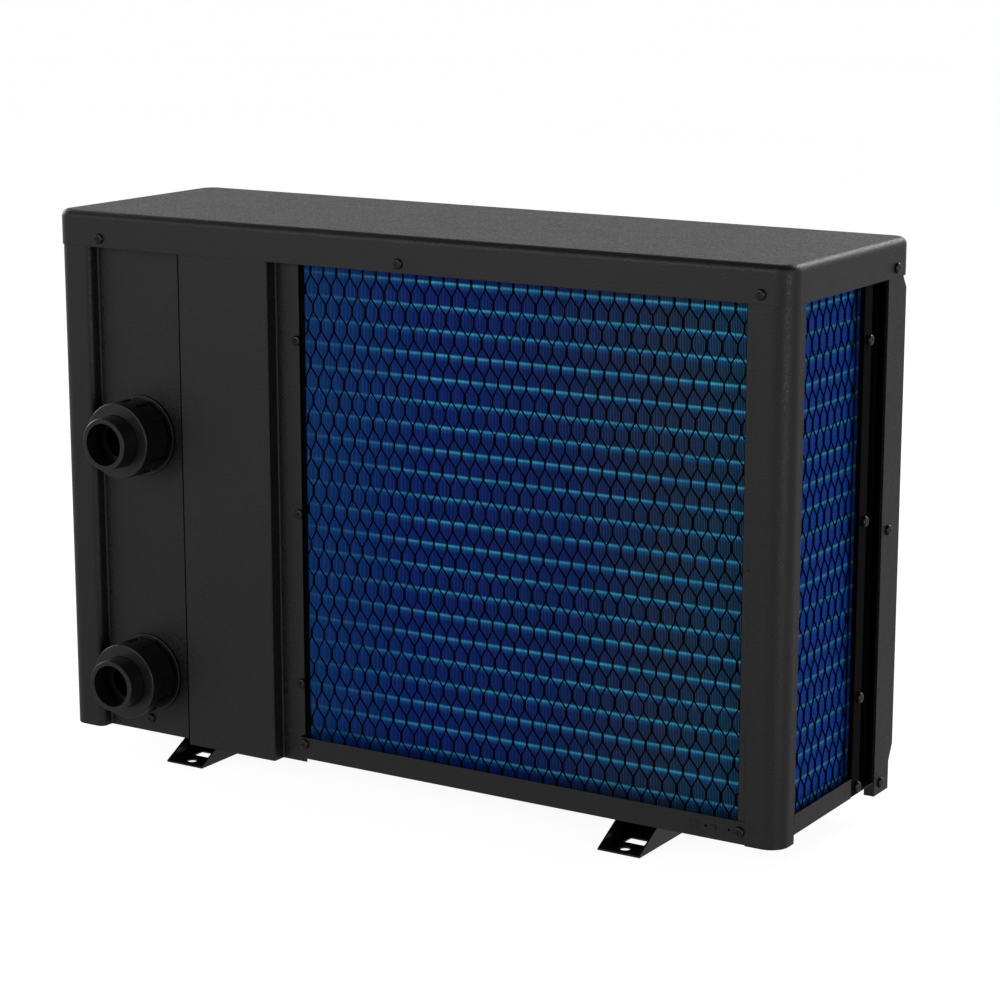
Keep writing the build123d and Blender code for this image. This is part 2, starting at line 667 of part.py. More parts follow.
def tail_piece(z):
    """Socket for the pool pipe, with a collar that the nut pulls back."""
    collar_y = SEAL_Y + SEAL_T
    body = rod(union_point(z, collar_y), BACK, THREAD_R - 0.5, COLLAR_T)
    body = body + rod(union_point(z, collar_y), BACK, TAIL_R, TAIL_END_Y - collar_y)
    body = chamfer(body.faces().sort_by(Axis.Y)[-1].edges(), 0.8)
    body = body - rod(union_point(z, TAIL_END_Y - SOCKET_DEPTH), BACK, SOCKET_R, SOCKET_DEPTH + 1)
    return body - rod(union_point(z, collar_y - 1), BACK, WATER_BORE_R, 60)


def union_nut(z):
    """Union nut with grip ribs round its back half, free to turn over the tail piece."""
    shoulder_y = SEAL_Y + SEAL_T + COLLAR_T + 0.4
    body = rod(union_point(z, NUT_BACK_Y), BACK, NUT_R - 2.5, NUT_FRONT_Y - NUT_BACK_Y)
    front = rod(union_point(z, NUT_FRONT_Y - NUT_RING_W), BACK, NUT_R, NUT_RING_W)
    front = fillet(front.faces().sort_by(Axis.Y)[-1].edges(), 1.5)
    body = body + front
    rib = block(-GRIP_RIB_W / 2, GRIP_RIB_W / 2, 0, GRIP_RIB_L, NUT_R - 4, NUT_R)
    for i in range(GRIP_RIBS):
        turn = Rot(0, (i + 0.5) * 360 / GRIP_RIBS, 0)
        body = body + Pos(UNION_X, NUT_BACK_Y, z) * turn * rib
    bore_y = NUT_BACK_Y - 1
    body = body - rod(union_point(z, bore_y), BACK, THREAD_R + 0.8, shoulder_y - bore_y)
    return body - rod(union_point(z, NUT_BACK_Y), BACK, TAIL_R + 0.5, 100)


# ---------------------------------------------------------------- coil and guard
def coil_outline(inset):
    """Open path of a coil layer in plan, from the water end round the bend to the coil end."""
    y = COIL_FACE_Y - inset
    x = COIL_FACE_X + inset
    return [(COIL_END_X, y), (x, y), (x, COIL_END_Y)]


def evaporator_fins():
    """Fin pack, bent in an L round the corner."""
    return folded(
        coil_outline(0), COIL_BEND_R, COIL_Z[0], COIL_Z[1], side=Side.LEFT, thickness=COIL_DEPTH
    )


def evaporator_tubes():
    """Return bends that stand out of both ends of the fin pack."""
    pieces = []
    bend = Torus(TUBE_PITCH / 2, TUBE_R)
    half = bend - block(-50, 0, -50, 50, -50, 50)
    layer_ys = (COIL_FACE_Y - 0.25 * COIL_DEPTH, COIL_FACE_Y - 0.75 * COIL_DEPTH)
    layer_xs = (COIL_FACE_X + 0.25 * COIL_DEPTH, COIL_FACE_X + 0.75 * COIL_DEPTH)
    for pair in range(TUBE_ROWS // 2):
        z = FIRST_TUBE_Z + (2 * pair + 0.5) * TUBE_PITCH
        water_end = Plane(origin=(COIL_END_X + PLATE_T, layer_ys[0], z), x_dir=WATER_END, z_dir=BACK)
        pieces.append(water_end * half)
        for x in layer_xs:
            coil_end = Plane(origin=(x, COIL_END_Y - PLATE_T, z), x_dir=FRONT, z_dir=WATER_END)
            pieces.append(coil_end * half)
    return pieces + [evaporator_header()]


def end_plates():
    """Tube sheets on both ends of the fin pack, standing on the pan."""
    z0, z1 = PAN_FLOOR + SHEET, COIL_Z[1]
    y0 = COIL_FACE_Y - COIL_DEPTH
    plate = block(COIL_END_X, COIL_END_X + PLATE_T, y0, COIL_FACE_Y, z0, z1)
    lip_x = COIL_END_X + 20
    lip = block(COIL_END_X, lip_x, COIL_FACE_Y, COIL_FACE_Y + PLATE_T, BACK_RIM_TOP + 0.5, z1)
    water_end = drilled(plate + lip, FLANGE_SCREWS)
    x1 = COIL_FACE_X + COIL_DEPTH
    coil_end = block(COIL_FACE_X, x1, COIL_END_Y - PLATE_T, COIL_END_Y, z0, z1)
    return [water_end, coil_end]


def evaporator_header():
    """Copper header with stubs into the inner row of the coil."""
    y = COIL_FACE_Y - 0.75 * COIL_DEPTH
    plate_x = COIL_END_X + PLATE_T
    body = rod((HEADER_X, y, HEADER_Z[0]), UP, HEADER_R, HEADER_Z[1] - HEADER_Z[0])
    for row in HEADER_ROWS:
        start = (plate_x, y, FIRST_TUBE_Z + row * TUBE_PITCH)
        body = body + rod(start, WATER_END, TUBE_R, HEADER_X - plate_x)
    return body


def coil_guard():
    """Guard over both open sides of the coil, bent round the corner, pierced by rows of slots."""
    z0, z1 = PAN_FLOOR + 2 * SHEET, PANEL_TOP - 8
    points = [(FLANGE_X - 6, GUARD_Y), (GUARD_X, GUARD_Y), (GUARD_X, END_STRIP_Y[0] + 2)]
    sheet = folded(points, POST_R, z0, z1, side=Side.LEFT, thickness=GUARD_T)
    rows = int((z1 - z0) // GUARD_SLOT_PITCH)
    slots = []
    for row in range(rows):
        z = z0 + (row + 0.5) * (z1 - z0) / rows
        for col in range(GUARD_SLOTS):
            step = (FLANGE_X - STRIP_X) / GUARD_SLOTS
            x = FLANGE_X - 6 - (col + 0.5) * step
            slots.append(Pos(x, GUARD_Y, z) * Box(step - 4, 10, GUARD_SLOT_PITCH - 5))
        for y in (0.0, 72.0):
            slots.append(Pos(GUARD_X, y + 8, z) * Box(10, 62, GUARD_SLOT_PITCH - 5))
    return sheet - slots


# ---------------------------------------------------------------- fan
def fan_point(y):
    return (FAN_X, y, FAN_Z)


def fan_blade():
    """One swept, twisted blade along +X, turning about +Z."""
    sections = []
    for radius, chord, pitch, sweep_angle in BLADE_SECTIONS:
        angle = math.radians(sweep_angle)
        centre = (radius * math.cos(angle), radius * math.sin(angle), 0)
        tilt = math.radians(pitch)
        along = (-math.sin(angle) * math.cos(tilt), math.cos(angle) * math.cos(tilt), math.sin(tilt))
        plane = Plane(origin=centre, x_dir=along, z_dir=(math.cos(angle), math.sin(angle), 0))
        sections.append(plane * RectangleRounded(chord, BLADE_T, BLADE_T * 0.44))
    return loft(sections)


def fan_blades():
    """Axial fan moulding: hub cup with swept blades."""
    hub = Cylinder(FAN_HUB_R, HUB_DEPTH)
    hub = fillet(hub.faces().sort_by(Axis.Z)[-1].edges(), HUB_EDGE_R)
    blade = fan_blade() & Cylinder(FAN_TIP_R, FAN_TIP_R)
    for i in range(FAN_BLADES):
        hub = hub + Rot(0, 0, i * 360 / FAN_BLADES) * blade
    hub = hub - Pos(0, 0, -HUB_CAP_T) * Cylinder(FAN_HUB_R - HUB_WALL, HUB_DEPTH - HUB_CAP_T)
    hub = hub + Pos(0, 0, HUB_CAP_T) * Cylinder(HUB_BOSS_R, HUB_DEPTH - 3 * HUB_CAP_T)
    hub = hub - Cylinder(SHAFT_R + SHAFT_SEAT, 4 * HUB_DEPTH)
    return Plane(origin=fan_point(FAN_Y), z_dir=FRONT) * hub


def fan_shaft():
    """Motor shaft: runs in the motor, carries the fan."""
    return rod(fan_point(SHAFT_Y[0]), BACK, SHAFT_R, SHAFT_Y[1] - SHAFT_Y[0])


def fan_nut():
    """Left-hand cap nut that holds the fan on its shaft."""
    seat = Plane(origin=fan_point(FAN_Y - HUB_DEPTH / 2), z_dir=FRONT)
    nut = extrude(RegularPolygon(NUT_HEX_R, 6), NUT_HEX_R - 1)
    nut = nut + Pos(0, 0, NUT_HEX_R - 1) * Cylinder(SHAFT_R + 1.5, 4)
    return seat * (nut - Cylinder(SHAFT_R + SHAFT_SEAT, 4 * HUB_DEPTH))


def fan_motor():
    """Sealed fan motor with four mounting lugs."""
    length = MOTOR_Y[1] - MOTOR_Y[0]
    body = rod(fan_point(MOTOR_Y[0]), BACK, MOTOR_R, length)
    body = fillet(body.faces().sort_by(Axis.Y)[0].edges(), MOTOR_NOSE_L)
    nose_y = MOTOR_Y[0] - MOTOR_NOSE_L
    body = body + rod(fan_point(nose_y), BACK, MOTOR_NOSE_R, MOTOR_NOSE_L + 2)
    dx, dz = LUG_SPACING
    lug = Box(16, LUG_T, 2 * dz)
    for side in (-1, 1):
        for end in (-1, 1):
            centre = (FAN_X + side * dx, MOTOR_Y[1] - LUG_T / 2, FAN_Z + end * dz)
            body = body + Pos(*centre) * lug
    bore_l = SHAFT_Y[1] - nose_y + 2
    return body - rod(fan_point(nose_y - 1), BACK, SHAFT_R + SHAFT_PLAY, bore_l)


def motor_bracket():
    """Two uprights from the pan with cross straps that carry the fan motor."""
    z0 = PAN_FLOOR + SHEET
    z1 = PANEL_TOP - 20
    y = MOTOR_Y[1]
    bracket = block(
        FAN_X - 54, FAN_X + 54, y, y + BRACKET_T, FAN_Z - STRAP_DZ - 9, FAN_Z - STRAP_DZ + 9
    )
    bracket = bracket + Pos(0, 0, 2 * STRAP_DZ) * bracket
    for side in (-1, 1):
        x0 = FAN_X + side * UPRIGHT_DX - UPRIGHT_W / 2
        bracket = bracket + block(x0, x0 + UPRIGHT_W, y, y + BRACKET_T, z0, z1)
        bracket = bracket + block(x0, x0 + BRACKET_T, y, y + 12, z0, z1)
        bracket = bracket + block(x0, x0 + UPRIGHT_W, y, y + 16, z0, z0 + BRACKET_T)
    return bracket


def fan_grille():
    """Guard over the bell mouth: rings and spokes on a raised disc, with four screw tabs."""
    sketch = Circle(GRILLE_RIM_R) - Circle(GRILLE_RIM_R - 5)
    sketch = sketch + Circle(GRILLE_CAP_R)
    step = (GRILLE_RIM_R - GRILLE_CAP_R) / (GRILLE_RINGS + 1)
    for i in range(GRILLE_RINGS):
        radius = GRILLE_CAP_R + (i + 1) * step
        sketch = sketch + (Circle(radius + GRILLE_WIRE / 2) - Circle(radius - GRILLE_WIRE / 2))
    spoke = Pos(GRILLE_RIM_R / 2, 0) * Rectangle(GRILLE_RIM_R - 6, GRILLE_T)
    for i in range(GRILLE_SPOKES):
        sketch = sketch + Rot(0, 0, i * 360 / GRILLE_SPOKES) * spoke
    depth = FRONT_Y - GRILLE_Y
    wall = Circle(GRILLE_RIM_R) - Circle(GRILLE_RIM_R - GRILLE_WIRE)
    rim = extrude(wall, depth, dir=(0, 0, -1))
    window = Pos(GRILLE_RIM_R, 0, -depth / 2) * Box(20, 112, depth - 2 * GRILLE_T)
    windows = [Rot(0, 0, (i + 0.5) * 360 / GRILLE_SPOKES) * window for i in range(GRILLE_SPOKES)]
    grille = extrude(sketch, GRILLE_T, dir=UP) + (rim - windows)
    tab = Pos(GRILLE_TAB_R - 5, 0, -depth + GRILLE_TAB_T / 2) * Box(26, 16, GRILLE_TAB_T)
    tab = tab - Pos(GRILLE_TAB_R, 0, -depth) * Cylinder(SCREW_HOLE_R, 10)
    for i in range(4):
        grille = grille + Rot(0, 0, 45 + 90 * i) * tab
    return Plane(origin=fan_point(GRILLE_Y), x_dir=WATER_END, z_dir=FRONT) * grille


# ---------------------------------------------------------------- controller
def button_x(index):
    return PAD_X + (index - (len(BUTTON_NAMES) - 1) / 2) * BUTTON_PITCH


def window_block(inset, y0, y1):
    """Block over the display window's outline, drawn in by inset."""
    half_w = WINDOW_W / 2 - inset
    half_h = WINDOW_H / 2 - inset
    return block(PAD_X - half_w, PAD_X + half_w, y0, y1, WINDOW_Z - half_h, WINDOW_Z + half_h)


def controller_bezel():
    """Moulded surround: frame outside the panel, boss behind it, window seat, button bores."""
    outer_y = FRONT_Y - PAD_T
    frame = pad_block(0, outer_y, FRONT_Y)
    frame = fillet(frame.edges().filter_by(Axis.Y), PAD_CORNER_R)
    frame = fillet(frame.faces().sort_by(Axis.Y)[0].edges(), PAD_EDGE_R)
    body = frame + pad_block(PAD_LAP + FIT, FRONT_Y, FRONT_Y + BOSS_DEPTH)
    seat = window_block(0, outer_y - 1, FRONT_Y - WINDOW_SEAT)
    body = body - fillet(seat.edges().filter_by(Axis.Y), WINDOW_R)
    for i in range(len(BUTTON_NAMES)):
        hole = rod((button_x(i), outer_y - 1, BUTTON_Z), BACK, BUTTON_R + BUTTON_PLAY, 2 * BOSS_DEPTH)
        relief_start = (button_x(i), FRONT_Y + BUTTON_WEB, BUTTON_Z)
        relief = rod(relief_start, BACK, BUTTON_R + BUTTON_LIP + 1.2, 2 * BOSS_DEPTH)
        body = body - hole - relief
    return body


def controller_window():
    """Smoked window over the display."""
    gap = 0.2
    pane = window_block(gap, FRONT_Y - PAD_T + 2 * gap, FRONT_Y - WINDOW_SEAT)
    return fillet(pane.edges().filter_by(Axis.Y), WINDOW_R - gap)


def button(index):
    """Round key with a flange that keeps it behind the bezel."""
    x = button_x(index)
    cap = rod((x, FRONT_Y + BUTTON_WEB + 1, BUTTON_Z), FRONT, BUTTON_R, BUTTON_LENGTH)
    cap = fillet(cap.faces().sort_by(Axis.Y)[0].edges(), 1.0)
    flange_y = FRONT_Y + BUTTON_WEB + BUTTON_PLAY
    flange = rod((x, flange_y, BUTTON_Z), BACK, BUTTON_R + BUTTON_LIP, 1.6)
    return cap + flange


# ---------------------------------------------------------------- compressor chamber
def compressor():
    """Hermetic rotary compressor on a three-armed base plate."""
    x, y = COMPRESSOR_XY
    z0 = COMPRESSOR_Z[0]
    body = rod((x, y, z0), UP, COMPRESSOR_R, COMPRESSOR_Z[1] - z0)
    body = fillet(body.edges().filter_by(GeomType.CIRCLE), 20.0)
    arm = Pos(36, 0, 2) * Box(*COMPRESSOR_ARM)
    for i in range(3):
        body = body + Pos(x, y, z0 - 3) * Rot(0, 0, 90 + 120 * i) * arm
    for px, py in compressor_feet():
        body = body - rod((px, py, z0 - 10), UP, 8.0, 30)
    return body + rod((x, y, COMPRESSOR_Z[1] - 1), UP, STUB_R, 10)


def compressor_feet():
    x, y = COMPRESSOR_XY
    angles = [math.radians(90 + 120 * i) for i in range(3)]
    r = COMPRESSOR_BOLT_R
    return [(x + r * math.cos(a), y + r * math.sin(a)) for a in angles]


def compressor_grommets():
    """Rubber feet under the compressor's arms."""
    pieces = []
    z0 = PAN_FLOOR + SHEET
    plate_z = COMPRESSOR_Z[0] - 3
    for px, py in compressor_feet():
        body = rod((px, py, z0), UP, 13.0, plate_z - z0)
        body = body + rod((px, py, plate_z), UP, 7.8, 4.0)
        pieces.append(body - rod((px, py, z0 - 1), UP, 4.2, 40))
    return pieces


def suction_accumulator():
    """Accumulator bottle beside the compressor."""
    x, y = ACCUMULATOR_XY
    z0, z1 = ACCUMULATOR_Z
    bottle = rod((x, y, z0), UP, ACCUMULATOR_R, z1 - z0)
    bottle = fillet(bottle.edges().filter_by(GeomType.CIRCLE), 14.0)
    return bottle + rod((x, y, z1 - 1), UP, STUB_R, ACCUMULATOR_STUB + 1)


def exchanger_shell():
    """Upright water shell with domed ends, bored for the two water pipes."""
    x, y = UNION_X, SHELL_Y
    shell = rod((x, y, SHELL_Z[0]), UP, SHELL_R, SHELL_Z[1] - SHELL_Z[0])
    shell = fillet(shell.edges().filter_by(GeomType.CIRCLE), 12.0)
    hollow = rod((x, y, SHELL_Z[0] + 5), UP, SHELL_R - 5, SHELL_Z[1] - SHELL_Z[0] - 10)
    shell = shell - fillet(hollow.edges().filter_by(GeomType.CIRCLE), 8.0)
    for z in UNION_ZS.values():
        shell = shell - rod((x, y, z), BACK, PIPE_R, 2 * SHELL_R)
    for z in EXCHANGER_PORT_ZS:
        shell = shell - rod((x, y, z), COIL_END, TUBE_R, 2 * SHELL_R)
    return shell


def exchanger_coil():
    """Titanium refrigerant coil inside the shell, as stacked rings, with a stub to each port."""
    low, high = EXCHANGER_PORT_ZS
    pitch = (high - low) / COIL_TURNS
    ring = Torus(COIL_R, TUBE_R)
    rings = [Pos(UNION_X, SHELL_Y, low + turn * pitch) * ring for turn in range(COIL_TURNS + 1)]
    port_x = UNION_X - SHELL_R + 8
    length = UNION_X - COIL_R - TUBE_R - port_x
    stubs = [rod((port_x, SHELL_Y, z), WATER_END, TUBE_R, length) for z in EXCHANGER_PORT_ZS]
    return rings + stubs


def water_pipe(z, tap=False):
    """Short pipe from the shell to a union's spigot."""
    start = SHELL_Y + SHELL_R - 8
    pipe = tube(union_point(z, start), BACK, PIPE_R, WATER_BORE_R, PIPE_END_Y - start)
    if tap:
        pipe = pipe - rod((UNION_X, SWITCH_Y, z), UP, 5.0, 40)
    return pipe


def flow_switch():
    """Flow switch housing, saddled on the outlet pipe."""
    z = OUTLET_Z
    saddle = rod((UNION_X, SWITCH_Y, z), UP, 13.0, PIPE_R + 8)
    top = z + PIPE_R
    head = block(UNION_X - 15, UNION_X + 15, SWITCH_Y - 13, SWITCH_Y + 13, top + 6, top + 34)
    head = fillet(head.edges().filter_by(Axis.Z), 3.0)
    body = saddle + head - rod((UNION_X, SWITCH_Y - 40, z), BACK, PIPE_R, 80)
    return body - rod((UNION_X, SWITCH_Y, z), UP, 6.0, PIPE_R + 14)


def flow_paddle():
    """Paddle that hangs in the water stream from the flow switch."""
    z = OUTLET_Z
    blade = block(UNION_X - 9, UNION_X + 9, SWITCH_Y - 0.6, SWITCH_Y + 0.6, z - 15, z + 14)
    blade = blade + rod((UNION_X, SWITCH_Y, z + 12), UP, 1.6, PIPE_R - 4)
    return blade


def reversing_valve():
    """Four-way valve lying over the compressor."""
    x, y = COMPRESSOR_XY
    body = rod((x - VALVE_LENGTH / 2, y, VALVE_Z), WATER_END, VALVE_R, VALVE_LENGTH)
    body = fillet(body.edges().filter_by(GeomType.CIRCLE), 5.0)
    for dx in (-VALVE_STUB, 0, VALVE_STUB):
        body = body + rod((x + dx, y, VALVE_Z), UP, STUB_R, VALVE_STUB)
    body = body + rod((x, y, VALVE_Z - VALVE_STUB), UP, STUB_R, VALVE_STUB)
    solenoid = block(x - 20, x + 20, y - 40, y - 16, VALVE_Z - 12, VALVE_Z + 12)
    solenoid = fillet(solenoid.edges().filter_by(Axis.Y), 3.0)
    return body + solenoid + rod((x, y - 18, VALVE_Z), BACK, 3.0, 10)


def filter_drier():
    """Filter drier in the liquid line."""
    body = rod((DRIER_X[0], LIQUID_Y, LIQUID_Z), WATER_END, 13.0, DRIER_X[1] - DRIER_X[0])
    return fillet(body.edges().filter_by(GeomType.CIRCLE), 6.0)


def expansion_valve():
    """Electronic expansion valve: body, stem tube and coil can."""
    body = rod((EXPANSION_X, LIQUID_Y, LIQUID_Z - 8), UP, EXPANSION_R, 22)
    return body + rod((EXPANSION_X, LIQUID_Y, LIQUID_Z + 14), UP, 15.0, 26)


def discharge_line():
    x, y = COMPRESSOR_XY
    z0 = COMPRESSOR_Z[1] + 9
    return rod((x, y, z0), UP, TUBE_R, VALVE_Z - VALVE_STUB - z0)


def suction_line():
    x, y = COMPRESSOR_XY
    ax, ay = ACCUMULATOR_XY
    z = VALVE_Z + VALVE_STUB
    end_z = ACCUMULATOR_Z[1] + ACCUMULATOR_STUB
    return bent_tube([(x, y, z), (x, y, z + 36), (ax, ay, z + 36), (ax, ay, end_z)], 16.0, TUBE_R)


def gas_line():
    """From the reversing valve to the coil's header."""
    x, y = COMPRESSOR_XY
    z = VALVE_Z + VALVE_STUB
    header_y = COIL_FACE_Y - 0.75 * COIL_DEPTH
    points = [
        (x - VALVE_STUB, y, z),
        (x - VALVE_STUB, y, z + 30),
        (HEADER_X, header_y, z + 30),
        (HEADER_X, header_y, HEADER_Z[1]),
    ]
    return bent_tube(points, 16.0, 6.0)


def condenser_line():
    """From the reversing valve to the top of the heat exchanger's coil."""
    x, y = COMPRESSOR_XY
    z = VALVE_Z + VALVE_STUB
    port = EXCHANGER_PORT_ZS[1]
    x = x + VALVE_STUB
    points = [
        (x, y, z),
        (x, y, z + 24),
        (x, SHELL_Y, z + 24),
        (x, SHELL_Y, port),
        (UNION_X - SHELL_R + 8, SHELL_Y, port),
    ]
    return bent_tube(points, 11.0, TUBE_R)


def liquid_line():
    """From the heat exchanger through the drier and the expansion valve to the coil."""
    port = EXCHANGER_PORT_ZS[0]
    drop_x = 291.0
    points = [
        (UNION_X - SHELL_R + 8, SHELL_Y, port),
        (drop_x, SHELL_Y, port),
        (drop_x, LIQUID_Y, port),
        (DRIER_X[1], LIQUID_Y, port),
    ]
    plate_x = COIL_END_X + PLATE_T
    valve_x = (EXPANSION_X - EXPANSION_R, EXPANSION_X + EXPANSION_R)
    return [
        bent_tube(points, 9.0, TUBE_R),
        rod((valve_x[1], LIQUID_Y, port), WATER_END, TUBE_R, DRIER_X[0] - valve_x[1]),
        rod((plate_x, LIQUID_Y, port), WATER_END, TUBE_R, valve_x[0] - plate_x),
    ]


def control_box():
    """Steel box for the electrics, open to the front."""
    x0, x1, y0, y1, z0, z1 = BOX_SPACE
    box = block(x0, x1, y0, y1, z0, z1)
    return box - block(x0 + SHEET, x1 - SHEET, y0 - 1, y1 - SHEET, z0 + SHEET, z1 - SHEET)


def control_board():
    """Circuit board with its larger components."""
    x0, x1, y0, y1, z0, z1 = BOX_SPACE
    y = y1 - SHEET - 8
    face_y = y - BOARD_T
    board = block(x0 + 12, x1 - 12, face_y, y, z0 + 12, z1 - 12)
    for dx, dz, w, h, d in BOARD_PARTS:
        x, z = x0 + dx, z0 + dz
        board = board + block(x - w / 2, x + w / 2, face_y - d, face_y, z - h / 2, z + h / 2)
    posts = [rod((x, y, z), BACK, 3.0, 8) for x in (x0 + 18, x1 - 18) for z in (z0 + 18, z1 - 18)]
    return board + posts


def terminal_block():
    """Supply terminal strip beside the board."""
    x0, x1, y0, y1, z0, z1 = BOX_SPACE
    z = z0 + SHEET
    strip = block(x0 + 70, x0 + 150, y0 + 8, y0 + 38, z, z + 18)
    for i in range(5):
        strip = strip - rod((x0 + 80 + 15 * i, y0 + 18, z + 10), UP, 3.5, 20)
    return strip


# ---------------------------------------------------------------- output
NODES = {
    "top_cover": top_cover,
    "connection_panel": connection_panel,
    "side_panel": side_panel,
    "hand_hold": hand_hold,
    "service_panel": service_panel,
    "front_panel": front_panel,
    "corner_post": corner_post,
    "end_strip": end_strip,
    "partition": partition,
    "base_pan": base_pan,
    "foot_coil_end": lambda: foot(-FOOT_PITCH / 2),
    "foot_water_end": lambda: foot(FOOT_PITCH / 2),
    "foot_bolts": foot_bolts,
    "casing_screws": casing_screws,
    "drain_spigot": drain_spigot,
    "cable_gland": cable_gland,
    "evaporator_fins": evaporator_fins,
    "evaporator_tubes": evaporator_tubes,
    "evaporator_end_plates": end_plates,
    "coil_guard": coil_guard,
    "fan_blades": fan_blades,
    "fan_shaft": fan_shaft,
    "fan_nut": fan_nut,
    "fan_motor": fan_motor,
    "motor_bracket": motor_bracket,
    "fan_grille": fan_grille,
    "controller_bezel": controller_bezel,
    "controller_window": controller_window,
    "compressor": compressor,
    "compressor_grommets": compressor_grommets,
    "suction_accumulator": suction_accumulator,
    "heat_exchanger_shell": exchanger_shell,
    "heat_exchanger_coil": exchanger_coil,
    "outlet_water_pipe": lambda: water_pipe(OUTLET_Z, tap=True),
    "inlet_water_pipe": lambda: water_pipe(INLET_Z),
    "flow_switch": flow_switch,
    "flow_paddle": flow_paddle,
    "reversing_valve": reversing_valve,
    "expansion_valve": expansion_valve,
    "filter_drier": filter_drier,
    "discharge_line": discharge_line,
    "suction_line": suction_line,
    "gas_line": gas_line,
    "condenser_line": condenser_line,
    "liquid_line": liquid_line,
    "control_box": control_box,
    "control_board": control_board,
    "terminal_block": terminal_block,
}
for water, height in UNION_ZS.items():
    NODES[f"{water}_spigot"] = lambda z=height: spigot(z)
    NODES[f"{water}_seal"] = lambda z=height: seal(z)
    NODES[f"{water}_tail"] = lambda z=height: tail_piece(z)
    NODES[f"{water}_nut"] = lambda z=height: union_nut(z)
for number, word in enumerate(BUTTON_NAMES):
    NODES[f"button_{word}"] = lambda i=number: button(i)

for name, make in NODES.items():
    made = make()
    if isinstance(made, list):
        made = Compound(children=[Compound(piece.wrapped) for piece in made])
    export_step(made, f"parts/{name}.step")
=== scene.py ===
import json
import math

import bpy
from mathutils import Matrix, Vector


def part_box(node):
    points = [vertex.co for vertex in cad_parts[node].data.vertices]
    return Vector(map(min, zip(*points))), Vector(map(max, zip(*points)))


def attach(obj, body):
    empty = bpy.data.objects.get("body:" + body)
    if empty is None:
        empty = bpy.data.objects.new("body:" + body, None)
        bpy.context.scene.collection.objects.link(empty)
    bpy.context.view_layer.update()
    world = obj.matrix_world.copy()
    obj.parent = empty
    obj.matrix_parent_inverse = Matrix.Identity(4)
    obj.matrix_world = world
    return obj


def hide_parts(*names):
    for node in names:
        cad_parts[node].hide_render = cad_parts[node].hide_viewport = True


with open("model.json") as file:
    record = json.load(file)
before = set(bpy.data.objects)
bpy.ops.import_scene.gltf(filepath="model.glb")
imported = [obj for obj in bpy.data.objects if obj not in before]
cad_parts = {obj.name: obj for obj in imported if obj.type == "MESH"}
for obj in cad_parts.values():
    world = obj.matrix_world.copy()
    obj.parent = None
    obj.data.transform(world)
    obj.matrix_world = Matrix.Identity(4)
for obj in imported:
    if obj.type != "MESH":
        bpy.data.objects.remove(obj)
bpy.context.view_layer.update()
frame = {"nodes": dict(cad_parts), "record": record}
NODES = frame["nodes"]
MM = 0.001


# ---------------------------------------------------------------- material helpers
MIX_INPUTS = (0, 6, 7)
MIX_RESULT = 2
BEVEL_SAMPLES = 4


def fill_ramp(ramp, stops):
    """Set a colour ramp's stops, each a place and a colour or a grey."""
    while len(ramp.elements) < len(stops):
        ramp.elements.new(0.5)
    for element, (place, colour) in zip(ramp.elements, stops):
        element.position = place
        if isinstance(colour, (int, float)):
            colour = (colour, colour, colour)
        element.color = (*colour, 1.0)


